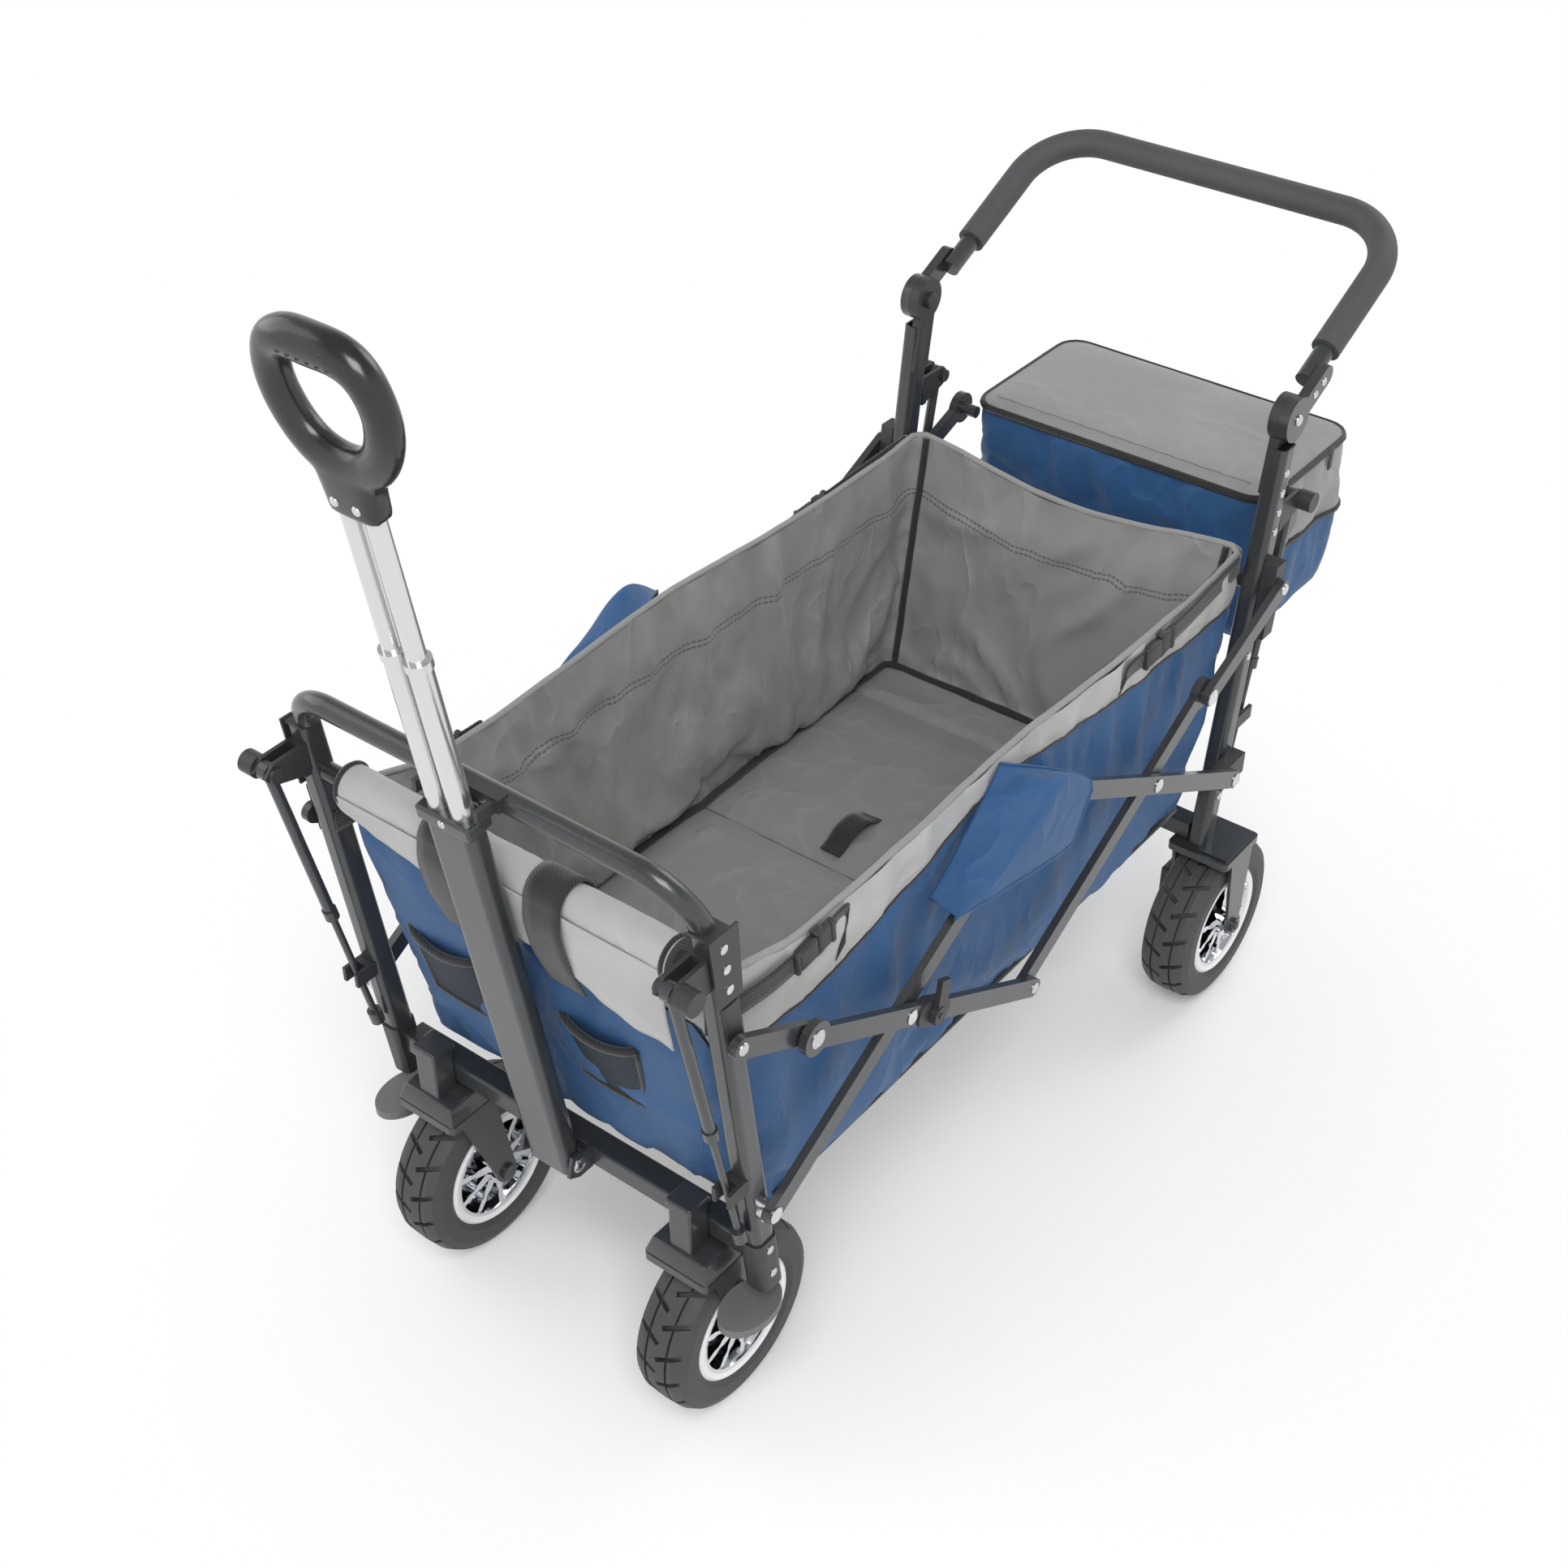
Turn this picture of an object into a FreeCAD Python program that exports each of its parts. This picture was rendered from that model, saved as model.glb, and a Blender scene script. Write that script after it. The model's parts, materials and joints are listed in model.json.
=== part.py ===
import FreeCAD, Part
import math
import os

# Folding wagon with a pull handle.  Millimetres, +Z up, +Y from the pull handle to the push bar.
V = FreeCAD.Vector

# ---------------------------------------------------------------- driving sizes
wheel_r = 100.0
wheel_w = 60.0
wheel_gap = 4.0
rim_r = 66.0
hub_r = 17.0
axle_r = 5.0
tread_blocks = 18
spokes = 10
front_wheel_x = 160.0
front_wheel_y = 18.0
rear_wheel_x = 236.0
rear_wheel_y = 811.0
swivel_y = -26.0
fork_t = 4.0
plate_z = 203.0
plate_t = 9.0
hood_h = 17.0
socket_w = 26.0
socket_top = 281.0
stem_r = 8.0

post_x = 227.0
post_w = 22.0
post_d = 26.0
post_wall = 2.0
front_lean = -0.14
rear_lean = 0.13
rear_post_y = 791.0
post_foot = 204.0
front_post_top = 668.0
rear_post_foot = 214.5
rear_post_top = 690.0

front_bar_z = 236.0
rear_bar_z = 215.0
cross_h = 23.0
cross_d = 26.0

bumper_r = 10.5
bumper_x = 221.0
bumper_z = 714.0
bumper_y = -82.0
bumper_bend = 50.0

pivot_y = -15.0
pivot_z = 320.0
span = 800.0
cross_dy = 185.0
cross_z = 424.0
mid_dy = 400.0
mid_top_z = 545.0
mid_low_z = 303.0
bar_w = 20.0
bar_t = 8.0
layer_1 = 244.0
layer_2 = 254.0
pin_r = 4.0
play = 0.05
front_elbow = (30.0, 502.8)
front_link_end = (-56.0, 551.0)
rear_elbow = (697.0, 478.6)
rear_link_end = (835.0, 540.0)

tub_side = 212.5
tub_foot_side = 205.0
tub_front = -44.0
tub_foot_front = 18.0
tub_rear = 838.0
tub_foot_rear = 776.0
tub_foot = 264.0
tub_top = 562.0
tub_wall = 6.0
soft_gap = 0.4
mat_t = 14.0
roll_y = -57.0
roll_z = 613.0
roll_r = 20.0
roll_tube_r = 9.0
roll_side = 190.0

handle_y = -31.0
handle_z = 252.0
handle_lean = 9.8
sheath_w = 54.0
sheath_d = 23.0
sheath_top = 447.0
tube_gap = 26.0
tube_r = 10.0
inner_tube_r = 8.2
stage_top = 620.0
neck_foot = 761.0
grip_side = 51.0
grip_top = 901.0
grip_r = 15.0

hub_y = 859.0
hub_z = 720.0
hub_disc_r = 24.0
push_side = 219.0
push_y = 1103.0
push_z = 837.0
push_bend = 72.0
push_r = 10.5
foam_r = 15.5

bag_side = 188.0
bag_front = 918.0
bag_rear = 1118.0
bag_foot = 380.0
bag_top = 574.0
lid_t = 12.0
bag_wall = 5.0

pole_r = 5.5
pole_bore = 3.6
rod_r = 3.5
front_pole_top = (-112.0, 640.0)
front_pole_foot = (-34.0, 289.0)
rear_pole_top = (897.0, 612.0)
rear_pole_foot = (829.0, 275.0)

PARTS = {}


# ---------------------------------------------------------------- small helpers
def box(x0, x1, y0, y1, z0, z1):
    return Part.makeBox(x1 - x0, y1 - y0, z1 - z0, V(x0, y0, z0))


def rod(r, a, b):
    a = V(*a)
    d = V(*b) - a
    return Part.makeCylinder(r, d.Length, a, d)


def across(r, x0, x1, at):
    return rod(r, (x0, at[0], at[1]), (x1, at[0], at[1]))


def dome(r, x, at, side=1):
    # a low domed rivet head that grows away from x along X
    base = across(r, x, x + 0.8 * side, at)
    ball_r = r * 1.6
    rise = math.sqrt(ball_r ** 2 - r ** 2)
    ball = Part.makeSphere(ball_r, V(x + (0.8 - rise) * side, at[0], at[1]))
    keep = across(r, x + 0.8 * side, x + r * side, at)
    return base.fuse(ball.common(keep)).removeSplitter()


def plate(points, x0, x1):
    pts = [V(x0, p[0], p[1]) for p in points]
    face = Part.Face(Part.makePolygon(pts + pts[:1]))
    return face.extrude(V(x1 - x0, 0, 0))


def flat_bar(a, b, w, x0, x1, holes=()):
    # a flat bar with round ends between two points of the side view
    d = V(0, b[0] - a[0], b[1] - a[1])
    d.normalize()
    n = V(0, -d.z, d.y) * (w / 2)
    pts = []
    for p, s in ((a, 1), (b, 1), (b, -1), (a, -1)):
        pts.append((p[0] + n.y * s, p[1] + n.z * s))
    s = plate(pts, x0, x1)
    s = s.fuse([across(w / 2, x0, x1, a), across(w / 2, x0, x1, b)]).removeSplitter()
    for h, r in holes:
        s = s.cut(across(r, x0 - 1, x1 + 1, h))
    return s


def bent(points, r, bend):
    # a round bar along straight runs joined by arcs
    pts = [V(*p) for p in points]
    edges = []
    last = pts[0]
    for i in range(1, len(pts) - 1):
        u = (pts[i - 1] - pts[i]).normalize()
        v = (pts[i + 1] - pts[i]).normalize()
        half = u.getAngle(v) / 2
        reach = bend / math.tan(half)
        mid = (u + v).normalize()
        centre = pts[i] + mid * (bend / math.sin(half))
        top = centre - mid * bend
        a = pts[i] + u * reach
        b = pts[i] + v * reach
        edges.append(Part.makeLine(last, a))
        edges.append(Part.Arc(a, top, b).toShape())
        last = b
    edges.append(Part.makeLine(last, pts[-1]))
    path = Part.Wire(edges)
    ring = Part.Wire(Part.makeCircle(r, pts[0], pts[1] - pts[0]))
    return path.makePipeShell([ring], True, True)


def mirror(s):
    return s.mirror(V(0, 0, 0), V(1, 0, 0))


def both(s):
    return Part.makeCompound([s, mirror(s)])


def front_at(z):
    return front_lean * (z - 200.0)


def rear_at(z):
    return rear_post_y + rear_lean * (z - 200.0)


def rounded(x0, x1, y0, y1, z, r):
    s = box(x0, x1, y0, y1, z, z + 1)
    edges = [e for e in s.Edges if abs(e.Vertexes[0].Z - e.Vertexes[1].Z) > 0.5]
    s = s.makeFillet(r, edges)
    faces = [f for f in s.Faces if abs(f.CenterOfMass.z - z) < 0.01]
    return faces[0]


def leaning_tube(z0, z1, at, lean, grow=0.0, wall=post_wall):
    x0 = post_x - post_w / 2 - grow
    x1 = post_x + post_w / 2 + grow
    y = at(z0)
    d = post_d / 2 + grow
    go = V(0, lean * (z1 - z0), z1 - z0)
    s = rounded(x0, x1, y - d, y + d, z0, 7 + grow).extrude(go)
    if wall:
        w = wall
        cut = rounded(x0 + w, x1 - w, y - d + w, y + d - w, z0, 5 + grow).extrude(go)
        s = s.cut(cut)
    return s


def add(name, s):
    PARTS[name] = s


def sides(name, s):
    add(name + "_right", s)
    add(name + "_left", mirror(s))


# ---------------------------------------------------------------- wheels
def tyre():
    h = wheel_w / 2
    pts = [(-h + 4, rim_r), (-h, rim_r + 6), (-h, wheel_r - 14), (-h + 4, wheel_r - 5)]
    pts += [(-h + 12, wheel_r - 1), (0, wheel_r)]
    pts += [(-x, z) for x, z in reversed(pts[:-1])]
    wire = Part.makePolygon([V(x, 0, z) for x, z in pts + pts[:1]])
    s = Part.Face(wire).revolve(V(0, 0, 0), V(1, 0, 0), 360)
    cuts = []
    step = 360.0 / tread_blocks
    for i in range(tread_blocks):
        for side in (1, -1):
            arm = Part.makeBox(h + 6, 5.2, 12, V(0, -2.6, wheel_r - 6.5))
            arm.rotate(V(0, 0, 0), V(0, 0, 1), 28)
            if side < 0:
                arm = mirror(arm)
            arm.rotate(V(0, 0, 0), V(1, 0, 0), i * step + (step / 2 if side < 0 else 0))
            cuts.append(arm)
    for x in (-12.0, 12.0):
        ring = Part.makeCylinder(wheel_r + 2, 2.4, V(x - 1.2, 0, 0), V(1, 0, 0))
        ring = ring.cut(Part.makeCylinder(wheel_r - 4, 2.4, V(x - 1.2, 0, 0), V(1, 0, 0)))
        cuts.append(ring)
    return s.cut(cuts)


def rim():
    h = wheel_w / 2
    rings = [(-h + 4, rim_r), (-h + 1.5, rim_r - 3), (-h + 4, rim_r - 12), (-h + 14, rim_r - 15)]
    rings += [(-x, z) for x, z in reversed(rings)]
    wire = Part.makePolygon([V(x, 0, z) for x, z in rings + rings[:1]])
    s = Part.Face(wire).revolve(V(0, 0, 0), V(1, 0, 0), 360)
    more = [Part.makeCylinder(hub_r, wheel_w + 2, V(-h - 1, 0, 0), V(1, 0, 0))]
    more.append(Part.makeCylinder(rim_r - 13, 6, V(-3, 0, 0), V(1, 0, 0)))
    for i in range(spokes):
        for face in (1, -1):
            a = (10.0, -5.5)
            b = (rim_r - 12.0, -3.0)
            pts = [V(0, a[1], a[0]), V(0, -a[1], a[0]), V(0, -b[1], b[0]), V(0, b[1], b[0])]
            arm = Part.Face(Part.makePolygon(pts + pts[:1])).extrude(V((h - 6) * face, 0, 0))
            arm.rotate(V(0, 0, 0), V(1, 0, 0), i * 360.0 / spokes)
            more.append(arm)
    s = s.fuse(more).removeSplitter()
    window = []
    for i in range(spokes):
        hole = Part.makeCylinder(9.5, wheel_w, V(-h, 0, 38), V(1, 0, 0))
        hole.rotate(V(0, 0, 0), V(1, 0, 0), (i + 0.5) * 360.0 / spokes)
        window.append(hole)
    s = s.cut(window)
    return s.cut(Part.makeCylinder(axle_r + play, wheel_w + 8, V(-h - 4, 0, 0), V(1, 0, 0)))


def wheels():
    t = tyre()
    r = rim()
    for end, x, y in (("front", front_wheel_x, front_wheel_y), ("rear", rear_wheel_x, rear_wheel_y)):
        for side, s in (("right", 1), ("left", -1)):
            move = V(x * s, y, wheel_r)
            add(end + "_tyre_" + side, t.translated(move))
            add(end + "_rim_" + side, r.translated(move))


# ---------------------------------------------------------------- front casters
def fork(cx, cy, top_y0, top_y1):
    inner = wheel_w / 2 + wheel_gap
    outer = inner + fork_t
    z1 = plate_z + plate_t
    top = box(cx - outer, cx + outer, top_y0, top_y1, plate_z, z1)
    edges = [e for e in top.Edges if abs(e.Vertexes[0].Z - e.Vertexes[1].Z) > 1]
    top = top.makeFillet(6, edges)
    mid = (top_y0 + top_y1) / 2
    pts = [(mid - 24, plate_z + 4), (mid + 24, plate_z + 4), (cy + 13, wheel_r), (cy - 13, wheel_r)]
    arms = []
    for x0 in (cx + inner, cx - outer):
        arm = plate(pts, x0, x0 + fork_t)
        arm = arm.fuse(across(13, x0, x0 + fork_t, (cy, wheel_r)))
        arms.append(arm)
    s = top.fuse(arms).removeSplitter()
    return s.cut(across(axle_r, cx - outer - 1, cx + outer + 1, (cy, wheel_r)))


def axle(cx, cy):
    reach = wheel_w / 2 + wheel_gap + fork_t
    s = across(axle_r, cx - reach, cx + reach, (cy, wheel_r))
    nut = across(9, cx + reach, cx + reach + 4, (cy, wheel_r))
    head = across(9, cx - reach - 4, cx - reach, (cy, wheel_r))
    tip = dome(6, cx + reach + 4, (cy, wheel_r))
    return s.fuse([nut, head, tip]).removeSplitter()


def casters():
    s = fork(front_wheel_x, front_wheel_y, swivel_y - 22, front_wheel_y + 6)
    stem = rod(stem_r, (front_wheel_x, swivel_y, plate_z + 4), (front_wheel_x, swivel_y, 272))
    z = plate_z + plate_t
    low = Part.makePolygon([V(front_wheel_x + a * 32, swivel_y + b, z) for a, b in
                            ((-1, -20), (1, -20), (1, 30), (-1, 30), (-1, -20))])
    high = Part.makePolygon([V(front_wheel_x + a * 15, swivel_y + b * 15, z + hood_h) for a, b in
                             ((-1, -1), (1, -1), (1, 1), (-1, 1), (-1, -1))])
    hood = Part.makeLoft([low, high], True, True)
    s = s.fuse([stem, hood]).removeSplitter()
    sides("caster_fork", s)
    sides("caster_axle", axle(front_wheel_x, front_wheel_y))
    out = front_wheel_x + wheel_w / 2 + wheel_gap + fork_t
    hinge = (0.0, 168.0)
    hub = across(9, out + play, out + 14, hinge)
    foot = Part.makeCylinder(1, 9)
    foot = foot.transformGeometry(FreeCAD.Matrix(24, 0, 0, 0, 0, 37, 0, 0, 0, 0, 1, 0))
    foot.translate(V(out + 24, -16, 172))
    foot = foot.cut(box(out - 40, out + play, -80, 60, 150, 220))
    lever = plate([(-6, 174), (8, 174), (12, 120), (2, 116)], out + 8, out + 14)
    pin = across(3, out, out + 18, hinge)
    pedal = foot.fuse([hub, lever]).removeSplitter().cut(across(3 + play, out - 1, out + 30, hinge))
    sides("brake_pedal", pedal)
    cap = pin.cut(box(out + 18, out + 40, -20, 20, 140, 200))
    sides("pedal_pin", cap)


# ---------------------------------------------------------------- front frame
def front_frame():
    post = leaning_tube(post_foot, front_post_top, front_at, front_lean)
    sides("front_post", post)
    x1 = post_x - post_w / 2
    bar = box(-x1, x1, -cross_d / 2, cross_d / 2, front_bar_z, front_bar_z + cross_h)
    bar = bar.makeFillet(3, [e for e in bar.Edges if e.Length > 100])
    inner = box(-x1, x1, -cross_d / 2 + 2, cross_d / 2 - 2, front_bar_z + 2, front_bar_z + cross_h - 2)
    bar = bar.cut(inner)
    clear = leaning_tube(post_foot, front_post_top, front_at, front_lean, 0, 0)
    add("front_crossbar", bar.cut([clear, mirror(clear)]))
    w = socket_w / 2
    y1 = -cross_d / 2
    y0 = y1 - socket_w
    low = plate_z + plate_t + hood_h + 1.0
    s = box(front_wheel_x - w, front_wheel_x + w, y0, y1, low, socket_top)
    s = s.makeFillet(2.5, [e for e in s.Edges if abs(e.Vertexes[0].Z - e.Vertexes[1].Z) > 1])
    hole = rod(stem_r + play, (front_wheel_x, swivel_y, low - 1), (front_wheel_x, swivel_y, 274))
    add("caster_sockets", both(s.cut(hole)))
    cap = box(front_wheel_x - w - 2, front_wheel_x + w + 2, y0 - 2, y1 + 2, socket_top, socket_top + 11)
    cap = cap.makeFillet(3, cap.Edges)
    add("socket_caps", both(cap))
    shoe = leaning_tube(post_foot + 1, 272, front_at, front_lean, 1.8, 0)
    shoe = shoe.cut(clear)
    shoe = shoe.cut(box(100, x1, -40, 40, 200, 310))
    add("post_shoes", both(shoe))
    x = bumper_x
    y = front_at(front_post_top)
    z = front_post_top - 14
    run = [(x, y + 6, z), (x, bumper_y, bumper_z), (-x, bumper_y, bumper_z), (-x, y + 6, z)]
    below = box(-300, 300, -200, 100, z - 40, front_post_top + 3)
    add("front_bumper_bar", bent(run, bumper_r, bumper_bend).cut(below))
    px = post_x + post_w / 2
    c = plate([(y - 16, 672), (y + 20, 672), (front_at(600) + 15, 596), (front_at(600) - 15, 596)], px, px + 2.4)
    lip = box(px - post_w, px, y - 13, y + 13, front_post_top, front_post_top + 3)
    add("front_corner_plates", both(c.fuse(lip).cut(clear).removeSplitter()))
    tube = across(roll_tube_r, -x1, x1, (roll_y, roll_z))
    add("front_roll_tube", tube.cut(across(roll_tube_r - 2, -x1, x1, (roll_y, roll_z))))
    heads = []
    for z in (656.0, 633.0, 610.0):
        heads.append(dome(4.5, px + 2.4, (front_at(z), z)))
    for z in (260.0, 226.0):
        heads.append(dome(4.5, px + 1.8, (front_at(z), z)))
    add("front_rivets", Part.makeCompound(heads + [mirror(h) for h in heads]))
    rail = leaning_tube(536, 592, front_at, front_lean, 1.7, 0).cut(clear)
    rail = rail.cut(box(100, px, -120, 60, 500, 600))
    add("front_slide_plates", both(rail))
    pin = across(pin_r, px, layer_1 + bar_t + 0.3, (pivot_y, pivot_z))
    pin = pin.fuse(across(11, px, layer_1 - 0.3, (pivot_y, pivot_z)))
    pin = pin.fuse(dome(8, layer_1 + bar_t + 0.3, (pivot_y, pivot_z))).removeSplitter()
    add("front_pivot_pins", both(pin))


def handle_fittings():
    y1 = -cross_d / 2
    w = sheath_w / 2 + 1.0
    cheek = plate([(y1, 236), (y1, 262), (handle_y - 8, 266), (handle_y - 14, 244), (handle_y, 236)], w, w + 4)
    web = box(-w, w, y1 - 1, y1, 236, 256)
    pin = across(5, -w - 4, w + 4, (handle_y, handle_z))
    s = web.fuse([cheek, mirror(cheek)]).removeSplitter().cut(pin)
    add("handle_hinge_bracket", s)
    pin = pin.fuse([dome(8, w + 4, (handle_y, handle_z)), dome(8, -w - 4, (handle_y, handle_z), -1)])
    add("handle_hinge_pin", pin.removeSplitter())
    near = bumper_y - bumper_r
    base = box(-40, 40, near - 4, near + 8, bumper_z - 2.5, bumper_z + 11)
    arm = box(31.5, 36.5, near - 24, near - 4, bumper_z - 2.5, bumper_z + 9)
    s = base.fuse([arm, mirror(arm)])
    s = s.cut(across(bumper_r, -60, 60, (bumper_y, bumper_z))).removeSplitter()
    add("handle_clip", s)
    pins = [rod(4, (x, near - 5.5, bumper_z), (x, near - 4, bumper_z)) for x in (-22, 22)]
    add("handle_clip_rivets", Part.makeCompound(pins))


def place_handle(s):
    s.rotate(V(0, 0, 0), V(1, 0, 0), handle_lean)
    s.translate(V(0, handle_y, handle_z))
    return s


def twin(r, z0, z1):
    g = tube_gap / 2
    return Part.makeCompound([rod(r, (x, 0, z0), (x, 0, z1)) for x in (-g, g)])


def pull_handle():
    w = sheath_w / 2
    d = sheath_d / 2
    s = rounded(-w, w, -d, d, -12, 9).extrude(V(0, 0, sheath_top + 12))
    s = s.cut(twin(tube_r + play, 30, sheath_top + 1))
    s = s.cut(across(5 + play, -w - 1, w + 1, (0, 0)))
    add("handle_sheath", place_handle(s))
    c = box(-w - 3, w + 3, -d - 2.5, d + 2.5, sheath_top, sheath_top + 15)
    c = c.makeFillet(3, c.Edges).cut(twin(tube_r + play, sheath_top - 1, sheath_top + 20))
    add("handle_collar", place_handle(c))
    g = tube_gap / 2
    legs = []
    for x in (-g, g):
        t = rod(tube_r, (x, 0, 200), (x, 0, stage_top + 7))
        t = t.fuse(rod(tube_r + 1.6, (x, 0, stage_top), (x, 0, stage_top + 8)))
        legs.append(t.cut(rod(inner_tube_r + play, (x, 0, 190), (x, 0, stage_top + 20))))
    add("handle_tubes_lower", place_handle(Part.makeCompound(legs)))
    legs = []
    for x in (-g, g):
        t = rod(inner_tube_r, (x, 0, 440), (x, 0, neck_foot))
        legs.append(t.cut(rod(inner_tube_r - 1.6, (x, 0, 430), (x, 0, neck_foot + 20))))
    add("handle_tubes_upper", place_handle(Part.makeCompound(legs)))
    run = [(-9, 0, 776), (-grip_side, 0, 832), (-grip_side + 5, 0, grip_top)]
    run += [(-x, y, z) for x, y, z in reversed(run)]
    loop = bent(run, grip_r, 32.0)
    low = rounded(-w + 1, w - 1, -14, 14, neck_foot, 9)
    high = rounded(-w + 2, w - 2, -14, 14, 818, 12)
    neck = Part.makeLoft([low.OuterWire, high.OuterWire], True)
    s = loop.fuse(neck).removeSplitter()
    add("handle_grip", place_handle(s))


# ---------------------------------------------------------------- folding side bars
def scissors():
    a = (pivot_y, pivot_z)
    b = (pivot_y + span, pivot_z)
    pc = (pivot_y + cross_dy, cross_z)
    pr = (pivot_y + span - cross_dy, cross_z)
    mt = (pivot_y + mid_dy, mid_top_z)
    mb = (pivot_y + mid_dy, mid_low_z)
    o1 = layer_1 + bar_t
    o2 = layer_2 + bar_t
    loose = pin_r + play
    s = flat_bar(a, mt, bar_w, layer_1, o1, [(a, loose)])
    add("scissor_bars_a", both(s))
    s = flat_bar(front_elbow, mb, bar_w, layer_2, o2, [(pc, loose)])
    s = s.fuse(across(17, layer_2, o2, front_elbow)).removeSplitter()
    add("scissor_bars_b", both(s))
    s = flat_bar(mb, rear_elbow, bar_w, layer_1, o1, [(mb, loose)])
    s = s.fuse(across(17, layer_1, o1, rear_elbow)).removeSplitter()
    add("scissor_bars_c", both(s))
    s = flat_bar(b, mt, bar_w, layer_2, o2, [(mt, loose), (pr, loose), (b, loose)])
    add("scissor_bars_d", both(s))
    def pin(x0, x1, at, r=7.5):
        side = 1 if x1 > x0 else -1
        p = across(pin_r, min(x0, x1), max(x0, x1), at)
        return p.fuse(dome(r, x1, at, side)).removeSplitter()
    add("pivot_rivets_a", both(Part.makeCompound([pin(o1, o2 + 0.3, pc), pin(o1, o2 + 0.3, mt)])))
    p = [pin(layer_2, layer_1 - 0.3, mb, 7), pin(layer_2, layer_1 - 0.3, front_elbow, 7)]
    p.append(dome(9, o2, front_elbow))
    p.append(dome(6, o2, mb))
    add("pivot_rivets_b", both(Part.makeCompound(p)))
    p = [pin(o1, o2 + 0.3, pr), pin(o1, o2 + 0.3, rear_elbow, 9)]
    add("pivot_rivets_c", both(Part.makeCompound(p)))
    s = flat_bar(front_elbow, front_link_end, bar_w, layer_1, o1, [(front_elbow, loose)])
    add("front_elbow_links", both(s))
    add("front_link_rivets", both(dome(6, o1, front_link_end)))
    s = flat_bar(rear_elbow, rear_link_end, bar_w, layer_2, o2, [(rear_elbow, loose)])
    add("rear_elbow_links", both(s))
    add("rear_link_rivets", both(dome(6, o2, rear_link_end)))
    d = V(0, mb[0] - pc[0], mb[1] - pc[1]).normalize()
    at = (pc[0] + d.y * 38, pc[1] + d.z * 38)
    collar = flat_bar((at[0] - d.y * 13, at[1] - d.z * 13), (at[0] + d.y * 13, at[1] + d.z * 13), 27, layer_2 - 1.2, o2 + 2)
    slot = flat_bar(front_elbow, mb, bar_w, layer_2, o2)
    add("bar_collars", both(collar.cut(slot)))
    latch = plate([(at[0] - 6, at[1] - 8), (at[0] + 8, at[1] - 6), (at[0] + 16, at[1] + 34), (at[0] + 2, at[1] + 40)],
                  o2 + 2.2, o2 + 8)
    latch = latch.fuse(across(9, o2 + 2.2, o2 + 9, at)).removeSplitter()
    latch = latch.cut(across(3 + play, o2, o2 + 20, at))
    sides("side_latch", latch)
    add("latch_pins", both(across(3, o2 + 2, o2 + 10, at)))


# ---------------------------------------------------------------- rear frame
def rear_frame():
    post = leaning_tube(rear_post_foot, rear_post_top, rear_at, rear_lean)
    sides("rear_post", post)
    clear = leaning_tube(rear_post_foot, rear_post_top, rear_at, rear_lean, 0, 0)
    x1 = post_x - post_w / 2
    px = post_x + post_w / 2
    y = rear_at(rear_bar_z + 10)
    bar = box(-x1, x1, y - 12, y + 12, rear_bar_z, rear_bar_z + cross_h)
    bar = bar.makeFillet(3, [e for e in bar.Edges if e.Length > 100])
    bar = bar.cut(box(-x1, x1, y - 10, y + 10, rear_bar_z + 2, rear_bar_z + cross_h - 2))
    add("rear_crossbar", bar.cut([clear, mirror(clear)]))
    s = fork(rear_wheel_x, rear_wheel_y, 770, 846)
    top = box(rear_wheel_x - 34, rear_wheel_x + 34, 776, 842, plate_z + plate_t, rear_post_foot)
    s = s.fuse(top).removeSplitter()
    add("rear_forks", both(s))
    sides("rear_axle", axle(rear_wheel_x, rear_wheel_y))
    inside = rear_wheel_x - wheel_w / 2 - wheel_gap - fork_t
    lever = box(inside - 16, inside, rear_wheel_y - 16, rear_wheel_y + 16, 114, 150)
    lever = lever.makeFillet(4, lever.Edges)
    add("rear_side_boxes", both(lever))
    at = (pivot_y + span, pivot_z)
    s = plate([(at[0] - 14, at[1] - 12), (at[0] + 34, at[1] - 12), (at[0] + 34, at[1] + 14), (at[0] - 14, at[1] + 14)],
              px, layer_2 - 0.3)
    add("rear_pivot_blocks", both(s.cut(clear)))
    pin = across(pin_r, layer_2 - 0.3, layer_2 + bar_t + 0.3, at)
    pin = pin.fuse(dome(8, layer_2 + bar_t + 0.3, at)).removeSplitter()
    add("rear_pivot_pins", both(pin))
    s = plate([(rear_at(482) - 10, 482), (rear_at(482) + 10, 482), (rear_at(566) + 10, 566), (rear_at(566) - 10, 566)],
              px, layer_2 - 0.3)
    add("rear_slide_plates", both(s.cut(clear)))
    tab = plate([(rear_at(640) - 13, 640), (rear_at(640) + 13, 640), (hub_y + 13, hub_z - 14), (hub_y - 13, hub_z - 14)],
                x1, post_x - 0.2)
    disc = across(hub_disc_r, x1, post_x - 0.2, (hub_y, hub_z))
    disc = disc.fuse(tab).removeSplitter().cut(clear)
    disc = disc.cut(across(9 + play, x1 - 1, post_x - 2.2, (hub_y, hub_z)))
    add("push_hubs", both(disc))
    heads = []
    for z in (619.0, 597.0, 452.0, 276.0):
        heads.append(dome(4.5, px, (rear_at(z), z)))
    add("rear_rivets", Part.makeCompound(heads + [mirror(h) for h in heads]))
    a = (rear_at(530) + 8, 530.0)
    b = (927.0, 561.0)
    s = flat_bar(a, b, 18, x1 - 9, x1)
    s = s.fuse(across(18, x1 - 9, x1, b)).removeSplitter()
    pin = across(7, bag_side + 0.4, x1 - 9, b)
    add("bag_arms", both(s.fuse(pin).removeSplitter()))


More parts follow.
